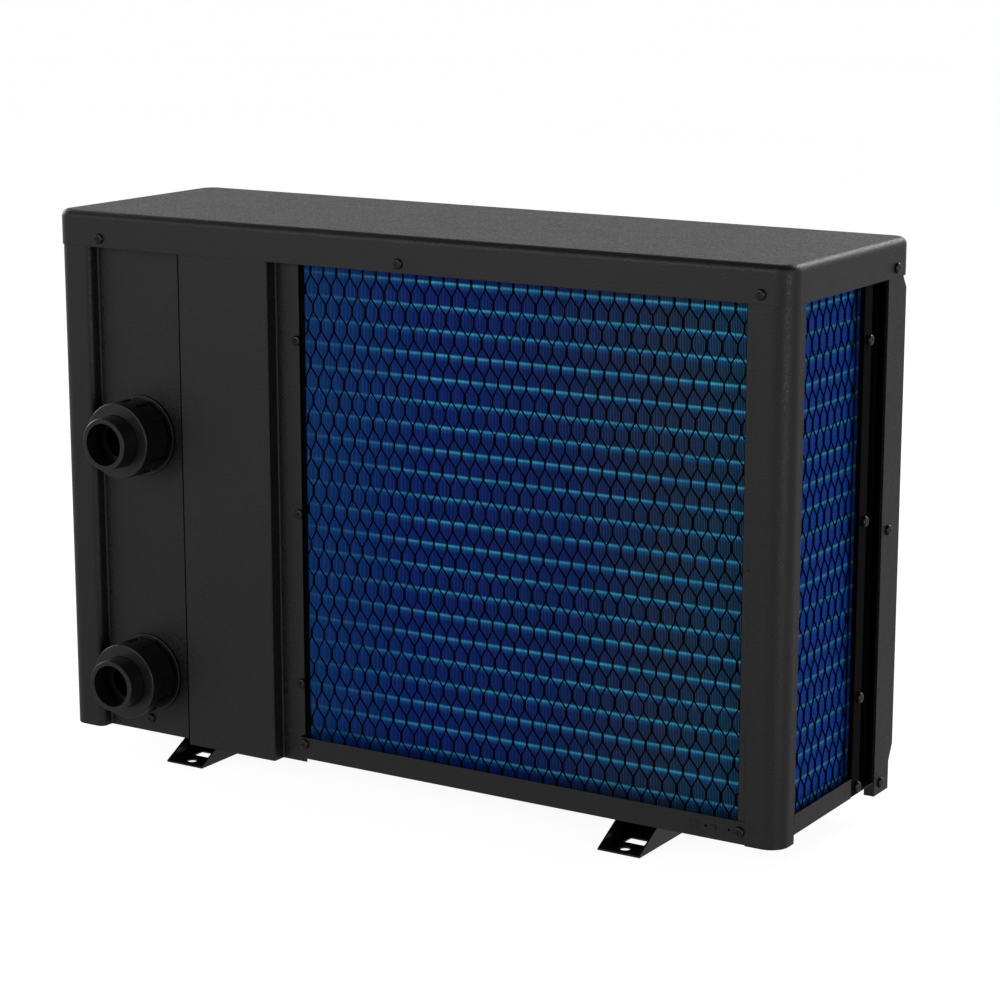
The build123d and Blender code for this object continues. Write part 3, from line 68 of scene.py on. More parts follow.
class Shader:
    """A node material under construction."""

    def __init__(self, name):
        self.material = bpy.data.materials.new(name)
        self.material.use_nodes = True
        self.tree = self.material.node_tree
        self.tree.nodes.clear()
        self.out = self.add("ShaderNodeOutputMaterial")
        self.bsdf = self.add("ShaderNodeBsdfPrincipled")
        self.link(self.bsdf.outputs["BSDF"], self.out.inputs["Surface"])
        self.coords = self.add("ShaderNodeTexCoord").outputs["Object"]

    def add(self, kind, **values):
        node = self.tree.nodes.new(kind)
        for key, value in values.items():
            setattr(node, key, value)
        return node

    def link(self, source, target):
        self.tree.links.new(source, target)

    def set(self, **values):
        for key, value in values.items():
            self.bsdf.inputs[key.replace("_", " ")].default_value = value

    def scaled(self, vector):
        node = self.add("ShaderNodeMapping")
        node.inputs["Scale"].default_value = vector
        self.link(self.coords, node.inputs["Vector"])
        return node.outputs["Vector"]

    def noise(self, scale, detail=2.0, rough=0.5, vector=None):
        node = self.add("ShaderNodeTexNoise")
        node.inputs["Scale"].default_value = scale
        node.inputs["Detail"].default_value = detail
        node.inputs["Roughness"].default_value = rough
        self.link(vector or self.coords, node.inputs["Vector"])
        return node.outputs["Fac"]

    def ramp(self, source, stops):
        node = self.add("ShaderNodeValToRGB")
        fill_ramp(node.color_ramp, stops)
        self.link(source, node.inputs["Fac"])
        return node.outputs["Color"]

    def math(self, operation, a, b=None):
        node = self.add("ShaderNodeMath", operation=operation)
        for index, value in enumerate((a, b)):
            if value is None:
                continue
            if isinstance(value, (int, float)):
                node.inputs[index].default_value = value
            else:
                self.link(value, node.inputs[index])
        return node.outputs[0]

    def mix(self, factor, a, b, blend="MIX"):
        node = self.add("ShaderNodeMix", data_type="RGBA", blend_type=blend)
        for socket, value in zip(MIX_INPUTS, (factor, a, b)):
            if isinstance(value, tuple):
                node.inputs[socket].default_value = (*value, 1.0)
            elif isinstance(value, (int, float)):
                node.inputs[socket].default_value = value
            else:
                self.link(value, node.inputs[socket])
        return node.outputs[MIX_RESULT]

    def bump(self, height, strength, distance, normal):
        node = self.add("ShaderNodeBump")
        node.inputs["Strength"].default_value = strength
        node.inputs["Distance"].default_value = distance
        self.link(height, node.inputs["Height"])
        self.link(normal, node.inputs["Normal"])
        return node.outputs["Normal"]

    def bevel(self, radius):
        node = self.add("ShaderNodeBevel", samples=BEVEL_SAMPLES)
        node.inputs["Radius"].default_value = radius
        return node.outputs["Normal"]

    def edges(self, radius):
        """1 along edges sharper than radius, 0 on the flats."""
        geometry = self.add("ShaderNodeNewGeometry")
        dot = self.add("ShaderNodeVectorMath", operation="DOT_PRODUCT")
        self.link(self.bevel(radius), dot.inputs[0])
        self.link(geometry.outputs["Normal"], dot.inputs[1])
        return self.ramp(dot.outputs["Value"], [(0.72, 1.0), (0.985, 0.0)])

    def finish(self, colour, roughness=None, normal=None):
        for name, source in (("Base Color", colour), ("Roughness", roughness), ("Normal", normal)):
            if source is not None:
                self.link(source, self.bsdf.inputs[name])
        return self.material


def powder_coat(name, colour, rough, grain=0.25, wear=0.12, edge=0.6 * MM, specular=0.42):
    """Satin powder coat: orange peel with painted shade in its hollows, faint cloudiness, dust and slightly
    worn edges.
    """
    s = Shader(name)
    s.set(Specular_IOR_Level=specular)
    cloud = s.noise(5.0, 4.0, 0.6)
    speck = s.noise(900.0, 2.0, 0.6)
    peel = s.noise(560.0, 2.0, 0.55)
    dark = tuple(c * 0.9 for c in colour)
    light = tuple(c * 1.1 for c in colour)
    base = s.mix(cloud, dark, light)
    base = s.mix(s.ramp(speck, [(0.55, 0.0), (0.75, 0.35)]), base, tuple(c * 1.5 for c in colour))
    worn = s.math("MULTIPLY", s.edges(1.2 * MM), s.ramp(s.noise(60.0, 4.0, 0.7), [(0.45, 0.0), (0.7, wear)]))
    base = s.mix(worn, base, tuple(min(1.0, c * 2.6 + 0.02) for c in colour))
    # painted shade: the hollows of the orange peel are darkened towards black, more strongly as grain grows
    base = s.mix(s.ramp(peel, [(0.38, grain * 2.4), (0.62, 0.0)]), base, (0.0, 0.0, 0.0))
    micro = s.noise(1700.0, 1.0, 0.5)
    height = s.math("ADD", peel, s.math("MULTIPLY", micro, 0.35))
    normal = s.bump(height, grain * 4.0, 0.3 * MM, s.bevel(edge))
    rough_map = s.ramp(s.noise(26.0, 5.0, 0.65), [(0.3, rough - 0.015), (0.7, rough + 0.02)])
    rough_map = s.math("ADD", rough_map, s.math("MULTIPLY", s.math("SUBTRACT", peel, 0.5), grain * 3.0))
    return s.finish(base, rough_map, normal)


def moulded(name, colour, rough, grain=0.03, edge=0.5 * MM):
    """Injection moulded plastic: fine texture, slight flow marks, softened edges."""
    s = Shader(name)
    s.set(Specular_IOR_Level=0.5)
    flow = s.noise(14.0, 3.0, 0.6, s.scaled((1.0, 3.0, 1.0)))
    base = s.mix(flow, tuple(c * 0.85 for c in colour), tuple(c * 1.2 for c in colour))
    rub = s.math("MULTIPLY", s.edges(1.0 * MM), s.ramp(s.noise(90.0, 3.0, 0.7), [(0.4, 0.0), (0.7, 0.12)]))
    base = s.mix(rub, base, tuple(min(1.0, c * 2.0 + 0.015) for c in colour))
    height = s.noise(1300.0, 2.0, 0.6)
    normal = s.bump(height, grain * 4.0, 0.15 * MM, s.bevel(edge))
    rough_map = s.ramp(s.noise(40.0, 4.0, 0.6), [(0.3, rough - 0.06), (0.7, rough + 0.08)])
    return s.finish(base, rough_map, normal)


def metal(name, colour, rough, streak=(1.0, 1.0, 1.0), spangle=0.0):
    """Bare metal with drawing marks and, for zinc, crystals."""
    s = Shader(name)
    s.set(Metallic=1.0)
    lines = s.noise(220.0, 3.0, 0.6, s.scaled(streak))
    base = s.mix(lines, tuple(c * 0.75 for c in colour), colour)
    if spangle:
        cells = s.add("ShaderNodeTexVoronoi")
        cells.inputs["Scale"].default_value = 120.0
        s.link(s.coords, cells.inputs["Vector"])
        base = s.mix(spangle, base, cells.outputs["Color"], "SOFT_LIGHT")
    normal = s.bump(lines, 0.12, 0.1 * MM, s.bevel(0.4 * MM))
    rough_map = s.ramp(s.noise(35.0, 4.0, 0.6), [(0.3, rough - 0.07), (0.7, rough + 0.09)])
    return s.finish(base, rough_map, normal)


def rubber(name, colour):
    """Matt rubber with a fine grain."""
    s = Shader(name)
    s.set(Specular_IOR_Level=0.3)
    base = s.mix(s.noise(30.0, 4.0), tuple(c * 0.8 for c in colour), tuple(c * 1.3 for c in colour))
    normal = s.bump(s.noise(1500.0, 2.0), 0.2, 0.1 * MM, s.bevel(0.4 * MM))
    rough_map = s.ramp(s.noise(50.0, 3.0), [(0.3, 0.65), (0.7, 0.85)])
    return s.finish(base, rough_map, normal)


def smoked_glass(name):
    """Near black window with a gloss coat and faint smears."""
    s = Shader(name)
    s.set(Specular_IOR_Level=0.6, Coat_Weight=0.6, Coat_Roughness=0.04)
    base = s.mix(s.noise(4.0, 2.0), (0.004, 0.005, 0.006), (0.009, 0.010, 0.012))
    rough_map = s.ramp(s.noise(60.0, 4.0), [(0.4, 0.05), (0.7, 0.14)])
    return s.finish(base, rough_map)


def fin_coat(name):
    """Blue coated fins with a painted highlight and a paler painted glow at every row of tubes, both dimmed
    by painted shade towards the +X end.
    """
    s = Shader(name)
    s.set(Specular_IOR_Level=0.5)
    low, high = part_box("evaporator_fins")
    split = s.add("ShaderNodeSeparateXYZ")
    s.link(s.coords, split.inputs[0])
    ripple = s.math("MULTIPLY", s.math("SUBTRACT", s.noise(9.0, 2.0), 0.5), 2.0 * MM)
    height = s.math("ADD", s.math("SUBTRACT", split.outputs["Z"], low.z), ripple)
    row = s.math("FRACT", s.math("DIVIDE", height, TUBE_PITCH))
    # painted highlight: a bright line along every row of tubes
    highlight_line = s.ramp(row, [(0.49, 0.0), (0.53, 0.8), (0.57, 1.0), (0.60, 0.9), (0.63, 0.0)])
    # painted glow: a paler band round each painted highlight
    glow_band = s.ramp(row, [(0.30, 0.0), (0.42, 0.6), (0.49, 1.0), (0.61, 0.6), (0.67, 0.0)])
    along = s.math("DIVIDE", s.math("SUBTRACT", high.x, split.outputs["X"]), high.x - low.x)
    # painted shade: the painted highlight and glow fade towards the +X end
    lit = s.ramp(along, [(0.0, 0.18), (0.09, 0.35), (0.3, 1.0), (1.0, 1.0)])
    patchy = s.ramp(s.noise(7.0, 3.0, 0.6), [(0.30, 0.6), (0.62, 1.0)])
    glint = s.ramp(s.noise(240.0, 2.0, 0.6, s.scaled((1.0, 1.0, 0.15))), [(0.35, 0.7), (0.65, 1.0)])
    drift = s.math("ADD", along, s.math("MULTIPLY", s.math("SUBTRACT", s.noise(3.2, 3.0), 0.5), 0.3))
    base = s.ramp(drift, [
        (0.0, (0.000, 0.11, 0.44)), (0.25, (0.000, 0.050, 0.42)), (0.52, (0.006, 0.055, 0.34)),
        (0.75, (0.034, 0.085, 0.22)), (0.90, (0.014, 0.125, 0.28)),
    ])
    base = s.mix(s.ramp(along, [(0.972, 0.0), (0.988, 1.0)]), base, (0.002, 0.12, 0.70))
    colour = s.mix(s.math("MULTIPLY", s.math("MULTIPLY", glow_band, 0.75), lit), base, (0.0, 0.30, 0.80))
    # painted highlight colour, which is also made more metallic
    painted_highlight = s.math("MULTIPLY", s.math("MULTIPLY", s.math("MULTIPLY", highlight_line, patchy), glint), lit)
    colour = s.mix(painted_highlight, colour, (0.20, 1.0, 1.0))
    s.link(s.math("ADD", s.math("MULTIPLY", painted_highlight, 0.75), 0.2), s.bsdf.inputs["Metallic"])
    rough_map = s.ramp(s.noise(90.0, 3.0), [(0.3, 0.38), (0.7, 0.55)])
    return s.finish(colour, rough_map)


def board_coat(name):
    """Green circuit board with a pattern of tracks."""
    s = Shader(name)
    s.set(Specular_IOR_Level=0.5)
    tracks = s.add("ShaderNodeTexBrick")
    tracks.inputs["Scale"].default_value = 60.0
    tracks.inputs["Color1"].default_value = (0.01, 0.10, 0.04, 1)
    tracks.inputs["Color2"].default_value = (0.012, 0.13, 0.05, 1)
    tracks.inputs["Mortar"].default_value = (0.02, 0.2, 0.08, 1)
    s.link(s.coords, tracks.inputs["Vector"])
    rough_map = s.ramp(s.noise(60.0), [(0.3, 0.3), (0.7, 0.45)])
    return s.finish(tracks.outputs["Color"], rough_map, s.bevel(0.3 * MM))


# ---------------------------------------------------------------- mesh helpers
def make_piece(name, mesh, material, body, replaces=()):
    """Put a new mesh on a body, with a slot of the record and the nodes that it stands for."""
    obj = bpy.data.objects.new(name, mesh)
    bpy.context.scene.collection.objects.link(obj)
    obj.data.materials.append(material)
    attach(obj, body)
    if replaces:
        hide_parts(*replaces)


def mesh_from(name, verts, faces, smooth=True):
    mesh = bpy.data.meshes.new(name)
    mesh.from_pydata([tuple(v) for v in verts], [], faces)
    mesh.update()
    if smooth:
        mesh.polygons.foreach_set("use_smooth", [True] * len(mesh.polygons))
    return mesh


class Wires:
    """Collects round wires along point lists into one mesh."""

    def __init__(self, sides):
        self.sides = sides
        self.verts = []
        self.faces = []

    def add(self, points, radius, closed=False):
        count = len(points)
        start = len(self.verts)
        side = None
        for i, point in enumerate(points):
            before = points[i - 1] if i or closed else point
            after = points[(i + 1) % count] if i < count - 1 or closed else point
            along = (after - before).normalized()
            if side is None:
                side = along.orthogonal().normalized()
            side = (side - along * side.dot(along)).normalized()
            up = along.cross(side)
            for k in range(self.sides):
                a = 2 * math.pi * k / self.sides
                self.verts.append(point + (side * math.cos(a) + up * math.sin(a)) * radius)
        for i in range(count if closed else count - 1):
            a = start + i * self.sides
            b = start + ((i + 1) % count) * self.sides
            for k in range(self.sides):
                n = (k + 1) % self.sides
                self.faces.append((a + k, a + n, b + n, b + k))
        if not closed:
            last = start + (count - 1) * self.sides
            self.faces.append(tuple(start + k for k in reversed(range(self.sides))))
            self.faces.append(tuple(last + k for k in range(self.sides)))

    def mesh(self, name):
        return mesh_from(name, self.verts, self.faces)


class Bend:
    """An L-shaped path in plan: along a face at y, round a corner, along an end at x."""

    def __init__(self, x_start, y, x, y_end, radius):
        self.x_start, self.y, self.x, self.y_end, self.radius = x_start, y, x, y_end, radius
        self.first = x_start - (x + radius)
        self.arc = radius * math.pi / 2
        self.length = self.first + self.arc + (y - radius) - y_end

    def at(self, s):
        """(point in plan, outward normal) at a distance s along the path."""
        if s <= self.first:
            return Vector((self.x_start - s, self.y, 0)), Vector((0, 1, 0))
        if s <= self.first + self.arc:
            a = (s - self.first) / self.radius
            normal = Vector((-math.sin(a), math.cos(a), 0))
            centre = Vector((self.x + self.radius, self.y - self.radius, 0))
            return centre + normal * self.radius, normal
        rest = s - self.first - self.arc
        return Vector((self.x, self.y - self.radius - rest, 0)), Vector((-1, 0, 0))


# ---------------------------------------------------------------- coil
TUBE_PITCH = 26.8 * MM
FIN_PITCH = 1.85 * MM
FIN_START = 0.2
FIN_T = 0.55 * MM
FIN_STEP = 2.2 * MM
COIL_DEPTH = 38.0 * MM
COIL_BEND = 44.0 * MM


def fin_pack(material):
    """Fin pack with every fin edge, on both faces, along the L of the coil."""
    low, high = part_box("evaporator_fins")
    path = Bend(high.x, high.y, low.x, low.y, COIL_BEND)
    verts = []
    for i in range(int(path.length / FIN_PITCH)):
        s = i * FIN_PITCH
        for t, inset in ((0.0, FIN_STEP), (0.0, 0.0), (FIN_T, 0.0), (FIN_T, FIN_STEP)):
            face, normal = path.at(s + t + FIN_PITCH * FIN_START)
            for point in (face - normal * inset, face - normal * (COIL_DEPTH - inset)):
                verts.append((point.x, point.y, low.z))
                verts.append((point.x, point.y, high.z))
    last = len(verts) - 4
    faces = []
    for a in range(0, last, 4):
        b = a + 4
        faces.append((a, a + 1, b + 1, b))
        faces.append((a + 2, b + 2, b + 3, a + 3))
        faces.append((a + 1, a + 3, b + 3, b + 1))
        faces.append((a, b, b + 2, a + 2))
    faces.append((0, 2, 3, 1))
    faces.append((last, last + 1, last + 3, last + 2))
    mesh = mesh_from("fin_pack", verts, faces, smooth=False)
    make_piece("fin_pack", mesh, material, "casing", ["evaporator_fins"])


# ---------------------------------------------------------------- guard
MESH_X = 17.8 * MM
MESH_Z = 21.07 * MM
MESH_SKEW = 1.5 * MM
MESH_ROW_Z = 567.7 * MM
MESH_COLUMN_X = 106.8 * MM
TWIST = 9.0 * MM
TWIST_TURNS = 1.5
TWIST_STEPS = 8
WIRE_R = 0.9 * MM
STRAND_OFFSET = 0.8
WIRE_SIDES = 5
GUARD_INSET = 1.8 * MM
GUARD_BEND = 20.0 * MM
EDGE_WIRE_R = 1.1 * MM
EDGE_STEPS = 60


def hex_guard(material):
    """Twisted hexagonal wire over both open sides of the coil."""
    low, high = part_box("coil_guard")
    path = Bend(high.x, high.y - GUARD_INSET, low.x + GUARD_INSET, low.y, GUARD_BEND)
    wires = Wires(WIRE_SIDES)

    def place(s, z, out=0.0):
        point, normal = path.at(min(max(s, 0.0), path.length))
        return Vector((point.x, point.y, z)) + normal * out

    first = -int((high.z - MESH_ROW_Z) / MESH_Z) - 1
    last = int((MESH_ROW_Z - low.z) / MESH_Z) + 1
    columns = int(path.length / MESH_X) + 2
    for row in range(first, last + 1):
        z = MESH_ROW_Z - row * MESH_Z
        half_step = MESH_X / 2 if row % 2 else 0.0
        offset = (high.x - MESH_COLUMN_X + half_step + row * MESH_SKEW) % MESH_X
        for column in range(columns):
            s = offset + column * MESH_X
            if s < 0 or s > path.length:
                continue
            twisted(wires, place, s, z, low.z, high.z)
            diagonals(wires, place, s, z, low.z, path.length)
    for z in (low.z + 0.8 * MM, high.z - 0.8 * MM):
        edge = [place(path.length * i / EDGE_STEPS, z) for i in range(EDGE_STEPS + 1)]
        wires.add(edge, EDGE_WIRE_R)
    for s in (0.0, path.length):
        wires.add([place(s, low.z + 1 * MM), place(s, high.z - 1 * MM)], EDGE_WIRE_R)
    mesh = wires.mesh("coil_guard_wire")
    make_piece("coil_guard_wire", mesh, material, "casing", ["coil_guard"])


def twisted(wires, place, s, z, z_low, z_high):
    """Two strands wound round each other over one upright of the mesh."""
    for strand in (0.0, math.pi):
        points = []
        for i in range(TWIST_STEPS + 1):
            t = i / TWIST_STEPS - 0.5
            a = strand + 2 * math.pi * TWIST_TURNS * t
            height = min(max(z + t * TWIST, z_low), z_high)
            across = math.cos(a) * WIRE_R * STRAND_OFFSET
            points.append(place(s + across, height, math.sin(a) * WIRE_R * STRAND_OFFSET))
        if points[0].z < points[-1].z:
            wires.add(points, WIRE_R)


def diagonals(wires, place, s, z, z_low, length):
    """The two wires that run down from an upright to its neighbours in the next row."""
    top = z - TWIST / 2
    bottom = z - MESH_Z + TWIST / 2
    if bottom < z_low:
        return
    for side in (-1, 1):
        end = s + side * MESH_X / 2 + MESH_SKEW
        if end < 0 or end > length:
            continue
        points = []
        for t in (0.0, 0.12, 0.5, 0.88, 1.0):
            ease = t + 0.04 * math.sin(2 * math.pi * t)
            points.append(place(s + (end - s) * ease, top + (bottom - top) * t))
        wires.add(points, WIRE_R)


# ---------------------------------------------------------------- fan grille
RINGS = 14
SPOKES = 24
RING_WIRE_R = 1.3 * MM
SPOKE_WIRE_R = 1.7 * MM
RIM_WIRE_R = 2.4 * MM
GRILLE_SIDES = 8
STEPS_PER_METRE = 520
RING_STEPS_LEAST = 24
CAP_R = 34 * MM
CAP_STEPS = 72
CAP_MIDDLE_R = 0.0001
TAB_COUNT = 4
TAB_PLACE_R = 266 * MM
TAB_INNER_R = 248 * MM
TAB_R = 8 * MM
TAB_T = 2.0 * MM
TAB_STEPS = 12


def grille_place():
    """The grille's centre in x and z, its front and back in y, and its half width."""
    low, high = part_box("fan_grille")
    centre = Vector(((low.x + high.x) / 2, 0, (low.z + high.z) / 2))
    return centre, low.y, high.y, (high.x - low.x) / 2


def wire_grille(material):
    """Round wire rings on radial wires, between the two hoops of the rim."""
    centre, front, back, half = grille_place()
    rim_r = half - 2.5 * MM
    wires = Wires(GRILLE_SIDES)

    def ring(radius, y, wire):
        steps = max(RING_STEPS_LEAST, int(radius * STEPS_PER_METRE))
        points = []
        for i in range(steps):
            a = 2 * math.pi * i / steps
            points.append(centre + Vector((radius * math.cos(a), y, radius * math.sin(a))))
        wires.add(points, wire, closed=True)

    for i in range(RINGS):
        radius = CAP_R + (rim_r - CAP_R) * (i + 1) / (RINGS + 1)
        crown = 1.0 - (radius / rim_r) ** 2
        ring(radius, front + 5.4 * MM - 1.6 * MM * crown, RING_WIRE_R)
    ring(rim_r, front + 6.0 * MM, RIM_WIRE_R)
    ring(rim_r, back - 2.6 * MM, RIM_WIRE_R)
    spoke = (
        (CAP_R - 6 * MM, front + 2.2 * MM),
        (rim_r * 0.6, front + 2.6 * MM),
        (rim_r - 8 * MM, front + 3.4 * MM),
        (rim_r - 1 * MM, front + 8.0 * MM),
        (rim_r, back - 3.0 * MM),
    )
    for i in range(SPOKES):
        a = 2 * math.pi * (i + 0.5) / SPOKES
        out = Vector((math.cos(a), 0, math.sin(a)))
        wires.add([centre + out * radius + Vector((0, y, 0)) for radius, y in spoke], SPOKE_WIRE_R)
    mesh = wires.mesh("fan_grille_wire")
    make_piece("fan_grille_wire", mesh, material, "casing", ["fan_grille"])


def turned(name, profile, centre, steps):
    """A turned mesh: (radius, y) points swept about the Y axis through centre."""
    verts, faces = [], []
    count = len(profile)
    for i in range(steps):
        a = 2 * math.pi * i / steps
        for radius, y in profile:
            verts.append((centre.x + radius * math.cos(a), y, centre.z + radius * math.sin(a)))
    for i in range(steps):
        b = (i + 1) % steps
        for k in range(count - 1):
            faces.append((i * count + k, i * count + k + 1, b * count + k + 1, b * count + k))
    return mesh_from(name, verts, faces)


def grille_cap(material):
    """Pressed disc with a rolled edge and a shallow dish over the hub."""
    centre, y, _, _ = grille_place()
    profile = [
        (CAP_MIDDLE_R, y + 2.4 * MM), (14 * MM, y + 2.4 * MM), (20 * MM, y + 1.0 * MM),
        (28 * MM, y + 0.2 * MM), (32 * MM, y + 0.4 * MM), (CAP_R, y + 1.6 * MM),
        (CAP_R, y + 4.0 * MM), (32.6 * MM, y + 4.0 * MM), (32.4 * MM, y + 2.2 * MM),
        (CAP_MIDDLE_R, y + 3.6 * MM),
    ]
    mesh = turned("fan_grille_cap", profile, centre, CAP_STEPS)
    make_piece("fan_grille_cap", mesh, material, "casing")


def grille_tabs(material):
    """Four pressed tabs on the rim, each round at its outer end."""
    centre, _, back, _ = grille_place()
    outline = []
    for i in range(TAB_STEPS + 1):
        a = -math.pi / 2 + math.pi * i / TAB_STEPS
        outline.append((TAB_PLACE_R + TAB_R * math.cos(a), TAB_R * math.sin(a)))
    outline += [(TAB_INNER_R, TAB_R), (TAB_INNER_R, -TAB_R)]
    n = len(outline)
    verts, faces = [], []
    for k in range(TAB_COUNT):
        turn = math.pi / 4 + k * math.pi / 2
        start = len(verts)
        for y in (back - TAB_T, back):
            for radial, across in outline:
                x = radial * math.cos(turn) - across * math.sin(turn)
                z = radial * math.sin(turn) + across * math.cos(turn)
                verts.append((centre.x + x, y, centre.z + z))
        faces.append(tuple(start + i for i in range(n)))
        faces.append(tuple(start + n + i for i in reversed(range(n))))
        for i in range(n):
            j = (i + 1) % n
            faces.append((start + j, start + i, start + n + i, start + n + j))
    mesh = mesh_from("fan_grille_tabs", verts, faces, smooth=False)
    make_piece("fan_grille_tabs", mesh, material, "casing")


# ---------------------------------------------------------------- casing detail
SKIRT_STEP = 1.5 * MM
# Place and size of the painted shadow line at the raised box.
SHADOW_LINE_X = (291.0 * MM, 291.9 * MM)
SHADOW_LINE_TOP = 616.5 * MM
SHADOW_LINE_DEPTH = 0.9 * MM
SHADOW_LINE_PROUD = 0.15 * MM


def shadow_line_strip(material):
    """Thin dark strip down the edge at the water side of the raised box: a painted shadow line."""
    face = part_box("top_cover")[1].y - SKIRT_STEP
    ys = (face - SHADOW_LINE_DEPTH, face + SHADOW_LINE_PROUD)
    zs = (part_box("connection_panel")[0].z, SHADOW_LINE_TOP)
    verts = [(x, y, z) for x in SHADOW_LINE_X for y in ys for z in zs]
    faces = [(0, 1, 3, 2), (4, 6, 7, 5), (0, 4, 5, 1), (2, 3, 7, 6), (0, 2, 6, 4), (1, 5, 7, 3)]
    mesh = mesh_from("shadow_line_strip", verts, faces, smooth=False)
    make_piece("shadow_line_strip", mesh, material, "casing")


# ---------------------------------------------------------------- stage
# The camera is the photograph's, solved from the casing's edges.
LENS = 100.76
SENSOR = 36.0
CAMERA_PLACE = (-1.71366, 2.67858, 1.03614)
CAMERA_FORWARD = (0.5141, -0.8301, -0.2160)

# Greys of the sky from straight down, 0, past the horizon, 0.5, to straight up, 1.
SKY = [(0.0, 0.30), (0.30, 0.42), (0.49, 0.50), (0.53, 0.85), (0.66, 0.62), (0.78, 0.12), (1.0, 0.06)]
FLOOR_HALF = 40
FLOOR_GLOW = 0.93

# Name, place, target, size in x and y, power in watts.
LIGHTS = (
    ("key", (1.4, 3.6, 1.6), (0, 0, 0.35), (2.2, 1.8), 26.0),
    ("side", (-2.9, 1.4, 0.5), (-0.45, 0.1, 0.35), (0.5, 1.2), 12.0),
    ("fan_side", (-1.0, -3.2, 2.6), (-0.1, 0, 0.3), (2.4, 1.4), 55.0),
    ("water_side", (3.4, -0.9, 1.5), (0.2, 0, 0.35), (1.8, 1.6), 45.0),
    ("behind", (-0.8, -4.2, 2.0), (0, 0, 0.6), (3.0, 1.0), 8.0),
)


def set_up(name, data, place, forward):
    """An object for a camera or light, at a place and facing forward."""
    obj = bpy.data.objects.new(name, data)
    bpy.context.scene.collection.objects.link(obj)
    obj.location = place
    obj.rotation_mode = "QUATERNION"
    obj.rotation_quaternion = Vector(forward).to_track_quat("-Z", "Y")
    return obj


def camera():
    data = bpy.data.cameras.new("camera")
    data.lens = LENS
    data.sensor_width = SENSOR
    data.clip_start, data.clip_end = 0.05, 200.0
    bpy.context.scene.camera = set_up("camera", data, CAMERA_PLACE, CAMERA_FORWARD)


def area_light(name, place, target, size, power):
    data = bpy.data.lights.new(name, "AREA")
    data.shape = "RECTANGLE"
    data.size, data.size_y = size
    data.energy = power
    set_up(name, data, place, Vector(target) - Vector(place))


def sky():
    """Graded grey world, which the camera itself sees as plain white."""
    world = bpy.data.worlds.new("studio")
    bpy.context.scene.world = world
    world.use_nodes = True
    tree = world.node_tree
    background = tree.nodes["Background"]
    coords = tree.nodes.new("ShaderNodeTexCoord")
    split = tree.nodes.new("ShaderNodeSeparateXYZ")
    ramp = tree.nodes.new("ShaderNodeValToRGB")
    tree.links.new(coords.outputs["Generated"], split.inputs[0])
    remap = tree.nodes.new("ShaderNodeMapRange")
    remap.inputs["From Min"].default_value = -1.0
    tree.links.new(split.outputs["Z"], remap.inputs["Value"])
    tree.links.new(remap.outputs["Result"], ramp.inputs["Fac"])
    fill_ramp(ramp.color_ramp, SKY)
    tree.links.new(ramp.outputs["Color"], background.inputs["Color"])
    backdrop = tree.nodes.new("ShaderNodeBackground")
    rays = tree.nodes.new("ShaderNodeLightPath")
    choice = tree.nodes.new("ShaderNodeMixShader")
    backdrop.inputs["Color"].default_value = (1, 1, 1, 1)
    tree.links.new(rays.outputs["Is Camera Ray"], choice.inputs[0])
    tree.links.new(background.outputs["Background"], choice.inputs[1])
    tree.links.new(backdrop.outputs["Background"], choice.inputs[2])
    tree.links.new(choice.outputs["Shader"], tree.nodes["World Output"].inputs["Surface"])


def ground():
    """Pale glowing floor that takes the unit's shadow, but neither lights it nor shows in it."""
    half = FLOOR_HALF
    corners = [(-half, -half, 0), (half, -half, 0), (half, half, 0), (-half, half, 0)]
    floor = bpy.data.objects.new("floor", mesh_from("floor", corners, [(0, 1, 2, 3)], smooth=False))
    bpy.context.scene.collection.objects.link(floor)
    s = Shader("floor")
    s.set(Specular_IOR_Level=0.0, Roughness=0.9)
    s.set(Emission_Color=(1, 1, 1, 1), Emission_Strength=FLOOR_GLOW)
    floor.data.materials.append(s.finish(s.mix(s.noise(0.6), (0.30, 0.30, 0.30), (0.34, 0.34, 0.34))))
    floor.visible_glossy = False
    floor.visible_diffuse = False


def studio():
    bpy.context.scene.view_settings.view_transform = "Standard"
    sky()
    ground()
    for light in LIGHTS:
        area_light(*light)


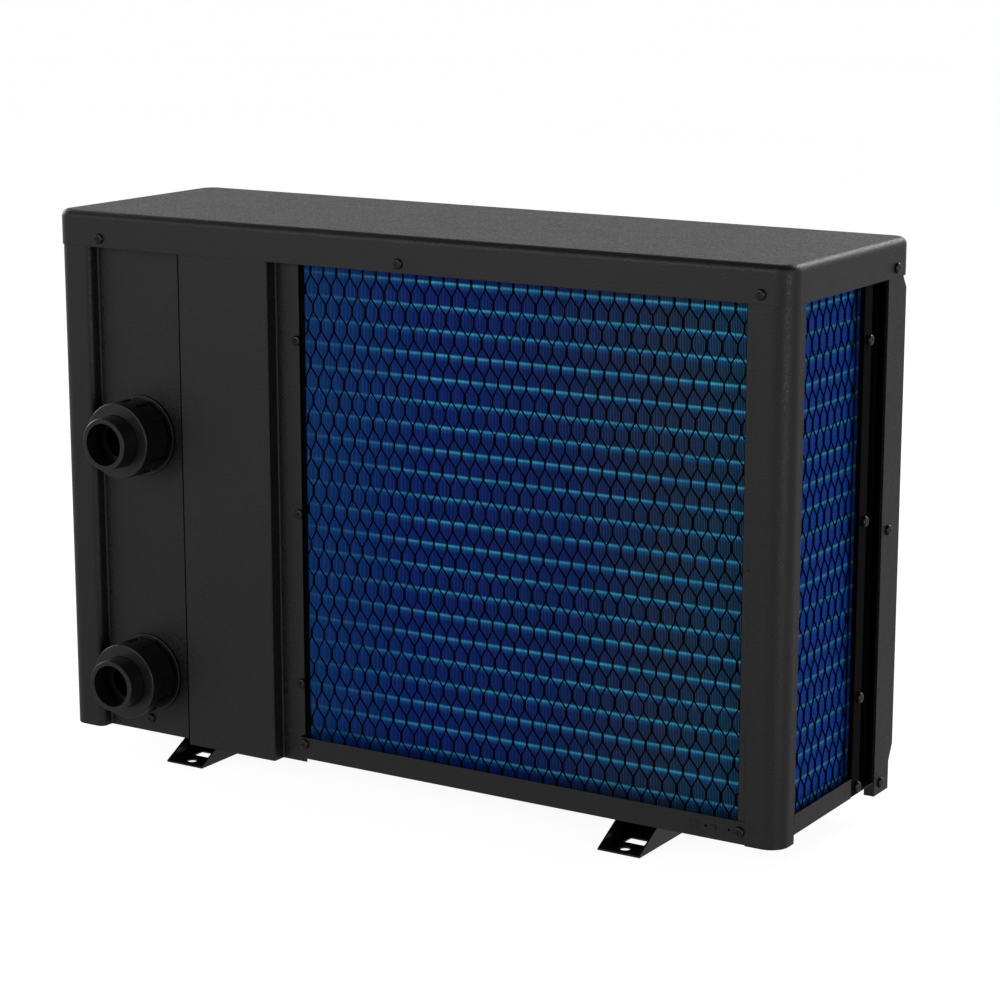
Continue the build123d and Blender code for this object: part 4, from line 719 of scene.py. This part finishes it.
# ---------------------------------------------------------------- finishes
PAINTS = {
    "casing_paint": dict(colour=(0.010, 0.0102, 0.0106), rough=0.44),
    "pan_paint": dict(colour=(0.0085, 0.0087, 0.009), rough=0.44),
    # strip_paint is painted shade: a near-black copy of the casing paint with almost no specular, for the
    # shaded end strip and the painted shadow line
    "strip_paint": dict(colour=(0.0012, 0.0012, 0.0013), rough=0.5, grain=0.03, specular=0.02),
    "foot_paint": dict(colour=(0.006, 0.006, 0.0062), rough=0.24, grain=0.02, wear=0.2),
    "screw_black": dict(colour=(0.004, 0.004, 0.0042), rough=0.24, grain=0.01, wear=0.3, edge=0.3 * MM),
    "guard_wire": dict(
        colour=(0.0005, 0.0005, 0.0006), rough=0.55, grain=0.02, wear=0.02, edge=0.2 * MM, specular=0.03,
    ),
    "motor_paint": dict(colour=(0.03, 0.03, 0.032), rough=0.4),
}
PLASTICS = {
    "union_plastic": dict(colour=(0.0055, 0.0055, 0.006), rough=0.36, edge=0.2 * MM),
    "bezel_plastic": dict(colour=(0.014, 0.014, 0.015), rough=0.45, grain=0.06),
    "button_plastic": dict(colour=(0.20, 0.205, 0.21), rough=0.45, grain=0.04),
    "fan_plastic": dict(colour=(0.016, 0.016, 0.017), rough=0.5),
    "vessel": dict(colour=(0.45, 0.45, 0.46), rough=0.4),
    "pipe_plastic": dict(colour=(0.22, 0.22, 0.23), rough=0.35),
}
METALS = {
    "zinc": dict(colour=(0.30, 0.305, 0.31), rough=0.45, spangle=0.35),
    "copper": dict(colour=(0.78, 0.33, 0.17), rough=0.28, streak=(4.0, 4.0, 1.0)),
    "steel": dict(colour=(0.56, 0.56, 0.57), rough=0.3, streak=(1.0, 8.0, 1.0)),
}


def finishes():
    """One material for each slot of the record, put on the CAD nodes of that slot."""
    by_slot = {
        "seal_rubber": rubber("seal_rubber", (0.012, 0.012, 0.012)),
        "window": smoked_glass("window"),
        "blue_fins": fin_coat("blue_fins"),
        "board_green": board_coat("board_green"),
    }
    for make, looks in ((powder_coat, PAINTS), (moulded, PLASTICS), (metal, METALS)):
        for name, look in looks.items():
            by_slot[name] = make(name, **look)
    for row in frame["record"]["subparts"]:
        mesh = NODES[row["node"]].data
        mesh.materials.clear()
        mesh.materials.append(by_slot[row["material_slot"]])
    return by_slot


camera()
studio()
materials = finishes()
fin_pack(materials["blue_fins"])
for make_wire in (hex_guard, wire_grille, grille_cap, grille_tabs):
    make_wire(materials["guard_wire"])
# painted shadow line down the water-side edge of the raised box
shadow_line_strip(materials["strip_paint"])
